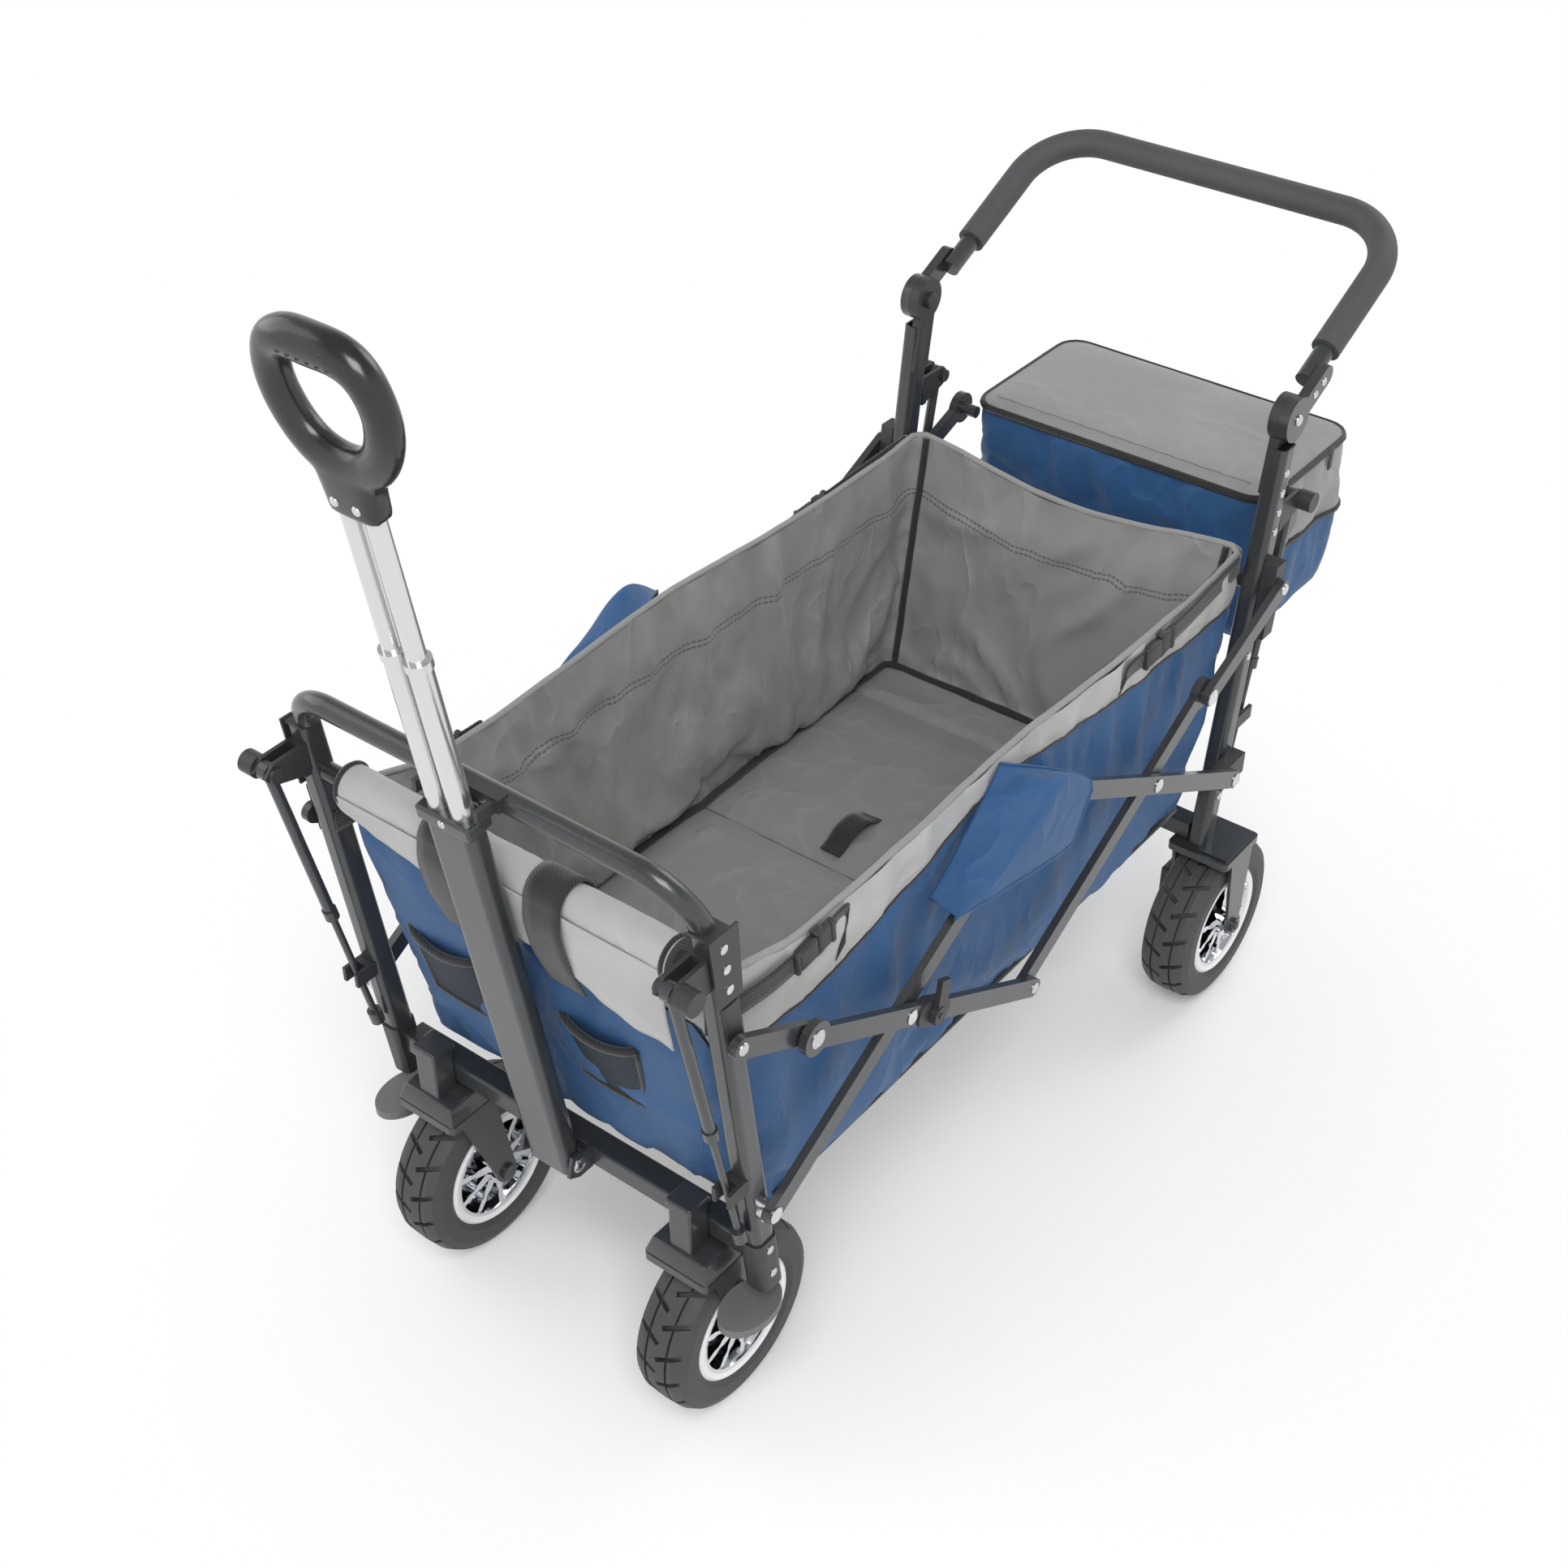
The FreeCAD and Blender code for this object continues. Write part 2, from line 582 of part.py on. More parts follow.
def push_bar():
    w = post_w / 2
    disc = across(hub_disc_r, post_x, post_x + w, (hub_y, hub_z))
    start = (hub_y + 12, hub_z + 5.8)
    d = V(0, push_y - hub_y, push_z - hub_z).normalize()
    neck_end = (hub_y + d.y * 62, hub_z + d.z * 62)
    neck = flat_bar((hub_y, hub_z), neck_end, 22, post_x, post_x + w)
    run = [(push_side, hub_y + d.y * 48, hub_z + d.z * 48), (push_side, push_y, push_z)]
    run += [(-x, y, z) for x, y, z in reversed(run)]
    bar = bent(run, push_r, push_bend)
    arm = disc.fuse(neck)
    s = bar.fuse([arm, mirror(arm)]).removeSplitter()
    add("push_bar", s)
    run = [(push_side, hub_y + d.y * 92, hub_z + d.z * 92), (push_side, push_y, push_z)]
    run += [(-x, y, z) for x, y, z in reversed(run)]
    foam = bent(run, foam_r, push_bend)
    add("push_bar_grip", foam.cut(bent(run, push_r, push_bend)))
    x1 = post_x - w
    button = across(9, x1 - 6, x1 + 1, (hub_y, hub_z))
    button = button.makeFillet(1.5, [e for e in button.Edges if abs(e.CenterOfMass.x - x1 + 6) < 0.1])
    sides("push_button", button)


# ---------------------------------------------------------------- canopy poles
def clevis(at, back, face_z0, face_z1):
    # two cheeks from a post face out to the pole pivot
    y0 = min(at[0], back)
    y1 = max(at[0], back)
    out = -11 if at[0] < back else 11
    cheeks = []
    for x0 in (post_x - 9.5, post_x + 5.5):
        c = plate([(back, face_z0), (back, face_z1), (at[0], at[1] + 11), (at[0] + out, at[1]), (at[0], at[1] - 11)],
                  x0, x0 + 4)
        cheeks.append(c)
    web = box(post_x - 9.5, post_x + 9.5, min(back, back + out * 0.7), max(back, back + out * 0.7), face_z0, face_z1)
    return cheeks[0].fuse([cheeks[1], web]).removeSplitter()


def pole(top, foot):
    t = V(post_x, top[0], top[1])
    f = V(post_x, foot[0], foot[1])
    d = (f - t).normalize()
    split = t + d * 200
    eye = across(9, post_x - 5, post_x + 5, top)
    tube = Part.makeCylinder(pole_r, 192, t + d * 8, d)
    tube = tube.fuse(Part.makeCylinder(pole_r + 1.5, 12, split - d * 12, d))
    s = tube.fuse(eye).removeSplitter()
    s = s.cut(Part.makeCylinder(rod_r + play, 160, t + d * 41, d))
    s = s.cut(across(3.5 + play, post_x - 9, post_x + 9, top))
    rest = (f - t).Length
    inner = Part.makeCylinder(rod_r, rest - 60, t + d * 60, d)
    cap = Part.makeCylinder(7, 16, f - d * 16, d)
    return s, inner.fuse(cap).removeSplitter()


def canopy_poles():
    clear = leaning_tube(post_foot, front_post_top, front_at, front_lean, 0, 0)
    rear_clear = leaning_tube(rear_post_foot, rear_post_top, rear_at, rear_lean, 0, 0)
    ends = (("front", front_pole_top, front_pole_foot, front_at, -1, clear),
            ("rear", rear_pole_top, rear_pole_foot, rear_at, 1, rear_clear))
    for end, top, foot, at, way, post in ends:
        face = at(top[1]) + way * 11.5
        s = clevis(top, face, top[1] - 22, top[1] + 12).cut(post)
        add(end + "_pole_brackets", both(s.cut(across(3.5, post_x - 12, post_x + 12, top))))
        knob = across(3.5, post_x - 9.5, post_x + 9.5, top)
        knob = knob.fuse([across(11, post_x + 9.5, post_x + 26, top), across(7, post_x - 13, post_x - 9.5, top)])
        add(end + "_pole_knobs", both(knob.removeSplitter()))
        s, inner = pole(top, foot)
        sides(end + "_pole", s)
        sides(end + "_pole_rod", inner)
        k = (top[1] - 362.0) / (top[1] - foot[1])
        y = top[0] + (foot[0] - top[0]) * k
        face = at(362) + way * 11
        y0 = min(face, y + way * 9)
        y1 = max(face, y + way * 9)
        clip = box(post_x - 10, post_x + 10, y0, y1, 354, 370)
        gate = box(post_x - pole_r - 0.5, post_x + pole_r + 0.5, min(y - way * 6, y + way * 20),
                   max(y - way * 6, y + way * 20), 350, 374)
        add(end + "_pole_clips", both(clip.cut(gate).cut(post)))


# ---------------------------------------------------------------- tub
def hollow(x, y0, y1, X, Y0, Y1, z0, z1, wall, floor):
    def ring(hx, a, b, z):
        pts = [V(-hx, a, z), V(hx, a, z), V(hx, b, z), V(-hx, b, z)]
        return Part.makePolygon(pts + pts[:1])
    outer = Part.makeLoft([ring(x, y0, y1, z0), ring(X, Y0, Y1, z1)], True, True)
    w = wall
    inner = Part.makeLoft([ring(x - w, y0 + w, y1 - w, z0), ring(X - w, Y0 + w, Y1 - w, z1 + 0.001)], True, True)
    inner = inner.cut(box(-500, 500, -500, 1500, z0 - 10, z0 + floor))
    return outer.cut(inner)


def tub():
    s = hollow(tub_foot_side, tub_foot_front, tub_foot_rear, tub_side, tub_front, tub_rear,
               tub_foot, tub_top, tub_wall, 4.0)
    lip = box(-roll_side + 2, roll_side - 2, tub_front - 4, tub_front + 5, tub_top - 14, roll_z - 24)
    s = s.fuse(lip).removeSplitter()
    roll = across(roll_r, -roll_side, roll_side, (roll_y, roll_z))
    roll = roll.cut(across(roll_tube_r + 0.1, -roll_side - 1, roll_side + 1, (roll_y, roll_z)))
    add("tub_shell", s.cut(across(roll_r + soft_gap, -220, 220, (roll_y, roll_z))))
    add("front_roll_cover", roll)
    z = tub_foot + 4 + soft_gap
    seams = [tub_foot_front + 8.2, 147.0, 427.0, 707.0, tub_foot_rear - 8.2]
    panels = []
    for y0, y1 in zip(seams, seams[1:]):
        panels.append(box(-tub_foot_side + 8, tub_foot_side - 8, y0 + 0.8, y1 - 0.8, z, z + mat_t))
    add("floor_mat", Part.makeCompound(panels))
    z = z + mat_t + soft_gap
    loop = box(-56, -24, 440, 520, z, z + 12)
    loop = loop.makeFillet(5, [e for e in loop.Edges if abs(e.CenterOfMass.z - z - 12) < 0.1 and e.Length < 40])
    add("floor_pull_loop", loop.cut(box(-60, -20, 450, 510, z - 1, z + 8)))
    x = layer_2 + bar_t + 6
    z = tub_top + soft_gap
    outer = plate([(240, z + 3), (400, z + 3), (455, 512), (424, 468), (212, 530)], x, x + 3)
    over = box(tub_side - 8, x + 3, 240, 400, z, z + 3)
    add("side_flaps", both(outer.fuse(over).removeSplitter()))
    parts = []
    for cx in (-62, 60):
        r = roll_r + soft_gap
        band = across(r + 2.2, cx - 21, cx + 21, (roll_y, roll_z))
        band = band.cut(across(r, cx - 22, cx + 22, (roll_y, roll_z)))
        band = band.cut(box(cx - 22, cx + 22, roll_y, roll_y + 40, roll_z - 40, roll_z - 6))
        band = band.cut(box(cx - 22, cx + 22, roll_y - 13, roll_y + 1, roll_z - 40, roll_z))
        parts.append(band)
    add("front_straps", Part.makeCompound(parts))
    lean = (tub_front - tub_foot_front) / (tub_top - tub_foot)
    pockets = []
    for cx in (-118, 68):
        y0 = tub_foot_front + lean * (370 - tub_foot)
        y1 = tub_foot_front + lean * (440 - tub_foot)
        g = soft_gap
        p = plate([(y0 - g, 370), (y0 - g - 9, 376), (y1 - g - 9, 440), (y1 - g, 440)], cx - 44, cx + 44)
        pockets.append(p)
    add("mesh_pockets", Part.makeCompound(pockets))
    buckles = []
    for y in (87.0, 656.0):
        b = box(tub_side + soft_gap, tub_side + 11, y - 30, y + 30, 535, 559)
        buckles.append(b.makeFillet(2.5, b.Edges))
    add("side_buckles", Part.makeCompound(buckles + [mirror(b) for b in buckles]))


# ---------------------------------------------------------------- rear bag
def bag():
    s = hollow(bag_side - 6, bag_front + 22, bag_rear - 4, bag_side, bag_front, bag_rear + 10,
               bag_foot, bag_top, bag_wall, 5.0)
    add("bag_body", s)
    z = bag_top + 3.6
    ring = box(-bag_side, bag_side, bag_front, bag_rear + 10, bag_top, bag_top + 3)
    hole = box(-bag_side + 5, bag_side - 5, bag_front + 5, bag_rear + 5, bag_top - 1, bag_top + 4)
    add("bag_zip", ring.cut(hole))
    lid = box(-bag_side - 1, bag_side + 1, bag_front - 1, bag_rear + 11, z, z + lid_t)
    corner = [e for e in lid.Edges if abs(e.Vertexes[0].Z - e.Vertexes[1].Z) > 1]
    lid = lid.makeFillet(26, corner)
    add("bag_lid", lid)
    pull = box(bag_side + 0.4, bag_side + 3, 1062, 1084, bag_top - 16, bag_top + 3)
    add("zip_pulls", both(pull.makeFillet(1, pull.Edges)))


# pieces that are fixed to each other and share one file
GROUPS = {
    "front_posts": ["front_post_left", "front_post_right"],
    "front_crossbars": ["front_crossbar", "front_roll_tube"],
    "front_post_fittings": ["post_shoes", "front_corner_plates", "front_slide_plates"],
    "front_rivets": ["front_rivets", "front_pivot_pins", "handle_hinge_pin", "handle_clip_rivets"],
    "caster_sockets": ["caster_sockets", "socket_caps"],
    "caster_fork_left": ["caster_fork_left", "caster_axle_left", "pedal_pin_left"],
    "caster_fork_right": ["caster_fork_right", "caster_axle_right", "pedal_pin_right"],
    "handle_sheath": ["handle_sheath", "handle_collar"],
    "rear_frame_tubes": ["rear_post_left", "rear_post_right", "rear_crossbar"],
    "rear_forks": ["rear_forks", "rear_axle_left", "rear_axle_right"],
    "rear_fittings": ["rear_pivot_blocks", "rear_slide_plates", "rear_side_boxes"],
    "rear_rivets": ["rear_rivets", "rear_pivot_pins"],
    "front_elbow_links": ["front_elbow_links", "front_link_rivets"],
    "rear_elbow_links": ["rear_elbow_links", "rear_link_rivets"],
    "bar_collars": ["bar_collars", "latch_pins"],
    "front_pole_left": ["front_pole_left", "front_pole_rod_left"],
    "front_pole_right": ["front_pole_right", "front_pole_rod_right"],
    "rear_pole_left": ["rear_pole_left", "rear_pole_rod_left"],
    "rear_pole_right": ["rear_pole_right", "rear_pole_rod_right"],
    "front_pole_brackets": ["front_pole_brackets", "front_pole_knobs", "front_pole_clips"],
    "rear_pole_brackets": ["rear_pole_brackets", "rear_pole_knobs", "rear_pole_clips"],
    "push_bar": ["push_bar"],
    "tub_shell": ["tub_shell", "front_roll_cover"],
    "floor_mat": ["floor_mat", "floor_pull_loop"],
    "tub_trim": ["front_straps", "mesh_pockets"],
    "bag_zip": ["bag_zip", "zip_pulls"],
}


def build():
    wheels()
    casters()
    front_frame()
    handle_fittings()
    pull_handle()
    scissors()
    rear_frame()
    push_bar()
    canopy_poles()
    tub()
    bag()
    for name, members in GROUPS.items():
        add(name, Part.makeCompound([PARTS.pop(m) for m in members]))
    low = min(s.BoundBox.YMin for s in PARTS.values())
    high = max(s.BoundBox.YMax for s in PARTS.values())
    shift = -(low + high) / 2
    for name in PARTS:
        PARTS[name].translate(V(0, shift, 0))
    return shift


shift_y = build()
os.makedirs("parts", exist_ok=True)
for name in PARTS:
    PARTS[name].exportStep("parts/" + name + ".step")
print(len(PARTS), "pieces, moved along Y by", round(shift_y, 3))
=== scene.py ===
# %% [markdown]
# # Folding wagon with a pull handle
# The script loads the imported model, gives every piece its finish, sews the cloth tub and the rear bag
# around the frame, and sets a soft studio.  Lengths are metres; `at()` takes millimetres in the
# wagon's own drawing frame, whose y = 0 is the foot of the front posts.

# %% Load the frame
import bpy
import bmesh
import json
import math
from mathutils import Matrix, Vector, noise


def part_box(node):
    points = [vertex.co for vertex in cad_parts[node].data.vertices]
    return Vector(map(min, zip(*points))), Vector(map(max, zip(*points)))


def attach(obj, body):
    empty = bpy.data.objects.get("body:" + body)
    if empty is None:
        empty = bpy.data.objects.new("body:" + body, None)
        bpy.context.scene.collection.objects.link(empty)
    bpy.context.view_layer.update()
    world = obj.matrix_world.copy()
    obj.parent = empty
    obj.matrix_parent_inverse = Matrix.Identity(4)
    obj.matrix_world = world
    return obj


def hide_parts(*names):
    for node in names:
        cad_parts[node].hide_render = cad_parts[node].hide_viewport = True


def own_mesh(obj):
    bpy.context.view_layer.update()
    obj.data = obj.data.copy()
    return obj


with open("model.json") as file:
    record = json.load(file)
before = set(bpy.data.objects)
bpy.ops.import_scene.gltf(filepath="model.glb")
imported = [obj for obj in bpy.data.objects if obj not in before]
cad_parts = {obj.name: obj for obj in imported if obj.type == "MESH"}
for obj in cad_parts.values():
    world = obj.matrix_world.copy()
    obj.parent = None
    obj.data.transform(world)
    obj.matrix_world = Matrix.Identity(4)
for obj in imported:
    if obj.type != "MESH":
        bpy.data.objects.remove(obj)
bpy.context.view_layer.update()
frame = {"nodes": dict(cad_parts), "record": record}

NODES = frame["nodes"]
wheel_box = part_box("front_tyre_left")
Y0 = (wheel_box[0][1] + wheel_box[1][1]) / 2 - 0.018


def at(x, y, z):
    """A point of the drawing frame, in millimetres, as a point of the model."""
    return Vector((x / 1000, y / 1000 + Y0, z / 1000))


# %% [markdown]
# ## Finishes
# Each finish is a small node tree.  Two node groups are shared: `fine_grain` breaks up a colour and a
# roughness, and `cloth_relief` makes the soft creases of thin coated nylon and a mask of painted shading along them.

# %% Node helpers
def new_material(name, color, rough, metal=0.0):
    mat = bpy.data.materials.new(name)
    mat.use_nodes = True
    tree = mat.node_tree
    shader = tree.nodes["Principled BSDF"]
    shader.inputs["Base Color"].default_value = (*color, 1)
    shader.inputs["Roughness"].default_value = rough
    shader.inputs["Metallic"].default_value = metal
    return mat, tree, shader


def node(tree, kind, **values):
    n = tree.nodes.new(kind)
    for key, value in values.items():
        if key in n.inputs:
            n.inputs[key].default_value = value
        else:
            setattr(n, key, value)
    return n


def math_node(tree, operation, a, b=None):
    n = tree.nodes.new("ShaderNodeMath")
    n.operation = operation
    for i, value in enumerate((a, b)):
        if value is None:
            continue
        if isinstance(value, (int, float)):
            n.inputs[i].default_value = value
        else:
            tree.links.new(value, n.inputs[i])
    return n.outputs[0]


def ramp(tree, source, stops):
    n = tree.nodes.new("ShaderNodeValToRGB")
    n.color_ramp.elements[0].position = stops[0][0]
    n.color_ramp.elements[0].color = (*stops[0][1], 1)
    n.color_ramp.elements[1].position = stops[-1][0]
    n.color_ramp.elements[1].color = (*stops[-1][1], 1)
    for place, color in stops[1:-1]:
        e = n.color_ramp.elements.new(place)
        e.color = (*color, 1)
    tree.links.new(source, n.inputs[0])
    return n.outputs[0]


def mix(tree, factor, a, b, blend="MIX"):
    n = tree.nodes.new("ShaderNodeMix")
    n.data_type = "RGBA"
    n.blend_type = blend
    for socket, value in ((n.inputs[0], factor), (n.inputs[6], a), (n.inputs[7], b)):
        if isinstance(value, (int, float)):
            socket.default_value = value
        elif isinstance(value, tuple):
            socket.default_value = (*value, 1)
        else:
            tree.links.new(value, socket)
    return n.outputs[2]


def node_group(name, *sockets):
    """A node group with its sockets, its input and output nodes and a coordinate node."""
    g = bpy.data.node_groups.new(name, "ShaderNodeTree")
    for label, way, kind in sockets:
        g.interface.new_socket(label, in_out=way, socket_type="NodeSocket" + kind)
    return (g, *[g.nodes.new(kind) for kind in ("NodeGroupInput", "NodeGroupOutput", "ShaderNodeTexCoord")])


def grain_group():
    g, i, o, co = node_group("fine_grain", ("Scale", "INPUT", "Float"), ("Depth", "INPUT", "Float"),
                             ("Shade", "OUTPUT", "Float"), ("Normal", "OUTPUT", "Vector"))
    n = node(g, "ShaderNodeTexNoise", Detail=4.0, Roughness=0.6)
    big = node(g, "ShaderNodeTexNoise", Scale=9.0, Detail=3.0)
    bump = node(g, "ShaderNodeBump", Distance=0.0006)
    g.links.new(co.outputs["Object"], n.inputs["Vector"])
    g.links.new(co.outputs["Object"], big.inputs["Vector"])
    g.links.new(i.outputs["Scale"], n.inputs["Scale"])
    g.links.new(i.outputs["Depth"], bump.inputs["Strength"])
    g.links.new(n.outputs["Fac"], bump.inputs["Height"])
    g.links.new(math_node(g, "MULTIPLY", n.outputs["Fac"], big.outputs["Fac"]), o.inputs["Shade"])
    g.links.new(bump.outputs["Normal"], o.inputs["Normal"])
    return g


def relief_group():
    g, i, o, co = node_group("cloth_relief", ("Depth", "INPUT", "Float"), ("Stretch", "INPUT", "Vector"),
                             ("Crease", "OUTPUT", "Float"), ("Normal", "OUTPUT", "Vector"))
    scale = node(g, "ShaderNodeVectorMath", operation="MULTIPLY")
    g.links.new(co.outputs["Object"], scale.inputs[0])
    g.links.new(i.outputs["Stretch"], scale.inputs[1])
    soft = node(g, "ShaderNodeTexNoise", Scale=13.0, Detail=3.0, Roughness=0.45, Distortion=0.25)
    g.links.new(scale.outputs[0], soft.inputs["Vector"])
    ridge = math_node(g, "ABSOLUTE", math_node(g, "SUBTRACT", soft.outputs["Fac"], 0.5))
    ridge = math_node(g, "POWER", math_node(g, "SUBTRACT", 1.0, math_node(g, "MULTIPLY", ridge, 2.0)), 5.0)
    fine = node(g, "ShaderNodeTexNoise", Scale=900.0, Detail=2.0)
    g.links.new(co.outputs["Object"], fine.inputs["Vector"])
    height = math_node(g, "ADD", ridge, math_node(g, "MULTIPLY", fine.outputs["Fac"], 0.05))
    height = math_node(g, "ADD", height, math_node(g, "MULTIPLY", soft.outputs["Fac"], 1.5))
    bump = node(g, "ShaderNodeBump", Distance=0.006)
    g.links.new(i.outputs["Depth"], bump.inputs["Strength"])
    g.links.new(height, bump.inputs["Height"])
    # painted shading: this output is the crease ridge, used only to make the cloth's colour lighter along the crests
    g.links.new(ridge, o.inputs["Crease"])
    g.links.new(bump.outputs["Normal"], o.inputs["Normal"])
    return g


GRAIN = grain_group()
RELIEF = relief_group()


# %% [markdown]
# Paint, plated steel and plastics differ in colour and gloss, not in pattern.  One function therefore makes
# them all from the shared grain, and a ramp keeps their colour from looking like a single flat value.

# %% Hard finishes
def hard(name, color, rough, metal=0.0, scale=400.0, depth=0.15, coat=0.0, spec=0.5, vary=0.2):
    mat, tree, shader = new_material(name, color, rough, metal)
    g = node(tree, "ShaderNodeGroup", node_tree=GRAIN)
    g.inputs["Scale"].default_value = scale
    g.inputs["Depth"].default_value = depth
    lighter = tuple(min(1, c * (1 + vary) + 0.02 * vary) for c in color)
    darker = tuple(c * (1 - vary) for c in color)
    tree.links.new(ramp(tree, g.outputs["Shade"], [(0.1, darker), (0.45, lighter)]), shader.inputs["Base Color"])
    tree.links.new(g.outputs["Normal"], shader.inputs["Normal"])
    rr = math_node(tree, "MULTIPLY_ADD", g.outputs["Shade"], vary)
    rr.node.inputs[2].default_value = rough - 0.06
    tree.links.new(rr, shader.inputs["Roughness"])
    shader.inputs["Coat Weight"].default_value = coat
    shader.inputs["Specular IOR Level"].default_value = spec
    return mat


PAINT = hard("charcoal_paint", (0.045, 0.047, 0.05), 0.32, 0.3, 500, 0.08, 0.35)
STEEL = hard("plated_steel", (0.66, 0.66, 0.67), 0.25, 1.0, 300, 0.05)
POLISHED = hard("bright_tube", (0.7, 0.7, 0.71), 0.24, 0.9, 200, 0.02, vary=0.02)
PLASTIC = hard("black_plastic", (0.028, 0.028, 0.03), 0.45, 0.0, 900, 0.25)
GRIP = hard("grip_plastic", (0.011, 0.011, 0.012), 0.27, 0.0, 700, 0.08, 0.2)
FOAM = hard("foam_grip", (0.06, 0.061, 0.064), 0.62, 0.0, 1600, 0.5)
PEDAL = hard("pedal_plastic", (0.14, 0.141, 0.144), 0.5, 0.0, 900, 0.25)
RUBBER = hard("tyre_rubber", (0.05, 0.05, 0.053), 0.6, 0.0, 700, 0.4)
WEBBING_COLOR = (0.012, 0.012, 0.013)


def webbing():
    mat, tree, shader = new_material("black_webbing", WEBBING_COLOR, 0.75)
    co = tree.nodes.new("ShaderNodeTexCoord")
    wave = node(tree, "ShaderNodeTexWave", Scale=160.0, Distortion=0.4, bands_direction="DIAGONAL")
    tree.links.new(co.outputs["Object"], wave.inputs["Vector"])
    bump = node(tree, "ShaderNodeBump", Strength=0.5, Distance=0.0008)
    tree.links.new(wave.outputs["Fac"], bump.inputs["Height"])
    tree.links.new(bump.outputs["Normal"], shader.inputs["Normal"])
    tree.links.new(ramp(tree, wave.outputs["Fac"], [(0.2, (0.007, 0.007, 0.008)), (0.9, (0.022, 0.022, 0.023))]),
                   shader.inputs["Base Color"])
    shader.inputs["Sheen Weight"].default_value = 0.25
    return mat


WEBBING = webbing()


# %% [markdown]
# The tub and bag are coated nylon.  Real folds could all be modelled, but the smallest are cheaper as a bump;
# stitches are a dashed line at set distances below the rim, read from the unwrapping of each panel.

# %% Cloth finishes
def cloth(name, color, depth=0.35, stretch=(1, 1, 1), seams=(), sheen=0.15, rough=0.62):
    """Coated nylon.  seams are distances below the rim, read from the piece's own unwrapping."""
    mat, tree, shader = new_material(name, color, rough)
    g = node(tree, "ShaderNodeGroup", node_tree=RELIEF)
    g.inputs["Depth"].default_value = depth
    g.inputs["Stretch"].default_value = stretch
    # painted shading: the cloth's colour is a little lighter along the crease crests and a little darker between
    # them, following the fold relief
    light = tuple(min(1, c * 1.03) for c in color)
    dark = tuple(c * 0.97 for c in color)
    shade = ramp(tree, g.outputs["Crease"], [(0.2, dark), (0.95, light)])
    uv = tree.nodes.new("ShaderNodeUVMap")
    uv.uv_map = "lay"
    split = tree.nodes.new("ShaderNodeSeparateXYZ")
    tree.links.new(uv.outputs[0], split.inputs[0])
    line = None
    for place in seams:
        away = math_node(tree, "ABSOLUTE", math_node(tree, "SUBTRACT", split.outputs["Y"], place))
        near = math_node(tree, "LESS_THAN", away, 0.0011)
        line = near if line is None else math_node(tree, "MAXIMUM", line, near)
    if line is not None:
        dash = math_node(tree, "FRACT", math_node(tree, "MULTIPLY", split.outputs["X"], 170.0))
        line = math_node(tree, "MULTIPLY", line, math_node(tree, "GREATER_THAN", dash, 0.25))
        shade = mix(tree, line, shade, tuple(c * 0.45 for c in color))
    tree.links.new(shade, shader.inputs["Base Color"])
    tree.links.new(g.outputs["Normal"], shader.inputs["Normal"])
    shader.inputs["Sheen Weight"].default_value = sheen
    shader.inputs["Sheen Roughness"].default_value = 0.5
    return mat


GREY = (0.25, 0.249, 0.246)
PALE = (0.40, 0.398, 0.392)
BLUE = (0.016, 0.078, 0.205)
INSIDE = cloth("grey_cloth_inside", GREY, 0.5, (1, 1, 0.45), (0.062, 0.068))
FLOOR = cloth("grey_cloth_floor", (0.23, 0.229, 0.226), 0.35)
PALE_CLOTH = cloth("pale_grey_cloth", PALE, 0.3, (0.6, 1, 1))
BLUE_CLOTH = cloth("blue_cloth", BLUE, 0.4, (1, 1, 0.6), (), 0.05)
LID_CLOTH = cloth("lid_cloth", GREY, 0.22)


# %% [markdown]
# Each rim is chrome inside and white at its edge.  Two materials with a cut between them would do, but the
# rim is one turned piece, so a mask of the distance from the axle changes the finish along it.

# %% Rim finish, one per wheel because the mask needs the wheel's own centre
WHITE_RING_FROM = 0.0575  # metres from the axle


def rim_finish(name, centre):
    mat, tree, shader = new_material(name, (0.8, 0.8, 0.82), 0.08, 1.0)
    co = tree.nodes.new("ShaderNodeTexCoord")
    off = node(tree, "ShaderNodeVectorMath", operation="SUBTRACT")
    off.inputs[1].default_value = centre
    flat = node(tree, "ShaderNodeVectorMath", operation="MULTIPLY")
    flat.inputs[1].default_value = (0, 1, 1)
    size = node(tree, "ShaderNodeVectorMath", operation="LENGTH")
    tree.links.new(co.outputs["Object"], off.inputs[0])
    tree.links.new(off.outputs[0], flat.inputs[0])
    tree.links.new(flat.outputs[0], size.inputs[0])
    mask = math_node(tree, "GREATER_THAN", size.outputs["Value"], WHITE_RING_FROM)
    tree.links.new(mix(tree, mask, (0.72, 0.73, 0.75), (0.82, 0.82, 0.83)), shader.inputs["Base Color"])
    tree.links.new(math_node(tree, "SUBTRACT", 1.0, mask), shader.inputs["Metallic"])
    rough = math_node(tree, "MULTIPLY_ADD", mask, 0.3)
    rough.node.inputs[2].default_value = 0.07
    tree.links.new(rough, shader.inputs["Roughness"])
    return mat


# %% [markdown]
# The frame, wheels and fittings keep their own meshes.  Each names a finish slot, so a table from slot to
# material is enough, and a narrow bevel catches light along every edge.

# %% Give every carried-over piece its finish
def paint(mat, *names):
    for name in names:
        mesh = NODES[name].data
        mesh.materials.clear()
        mesh.materials.append(mat)


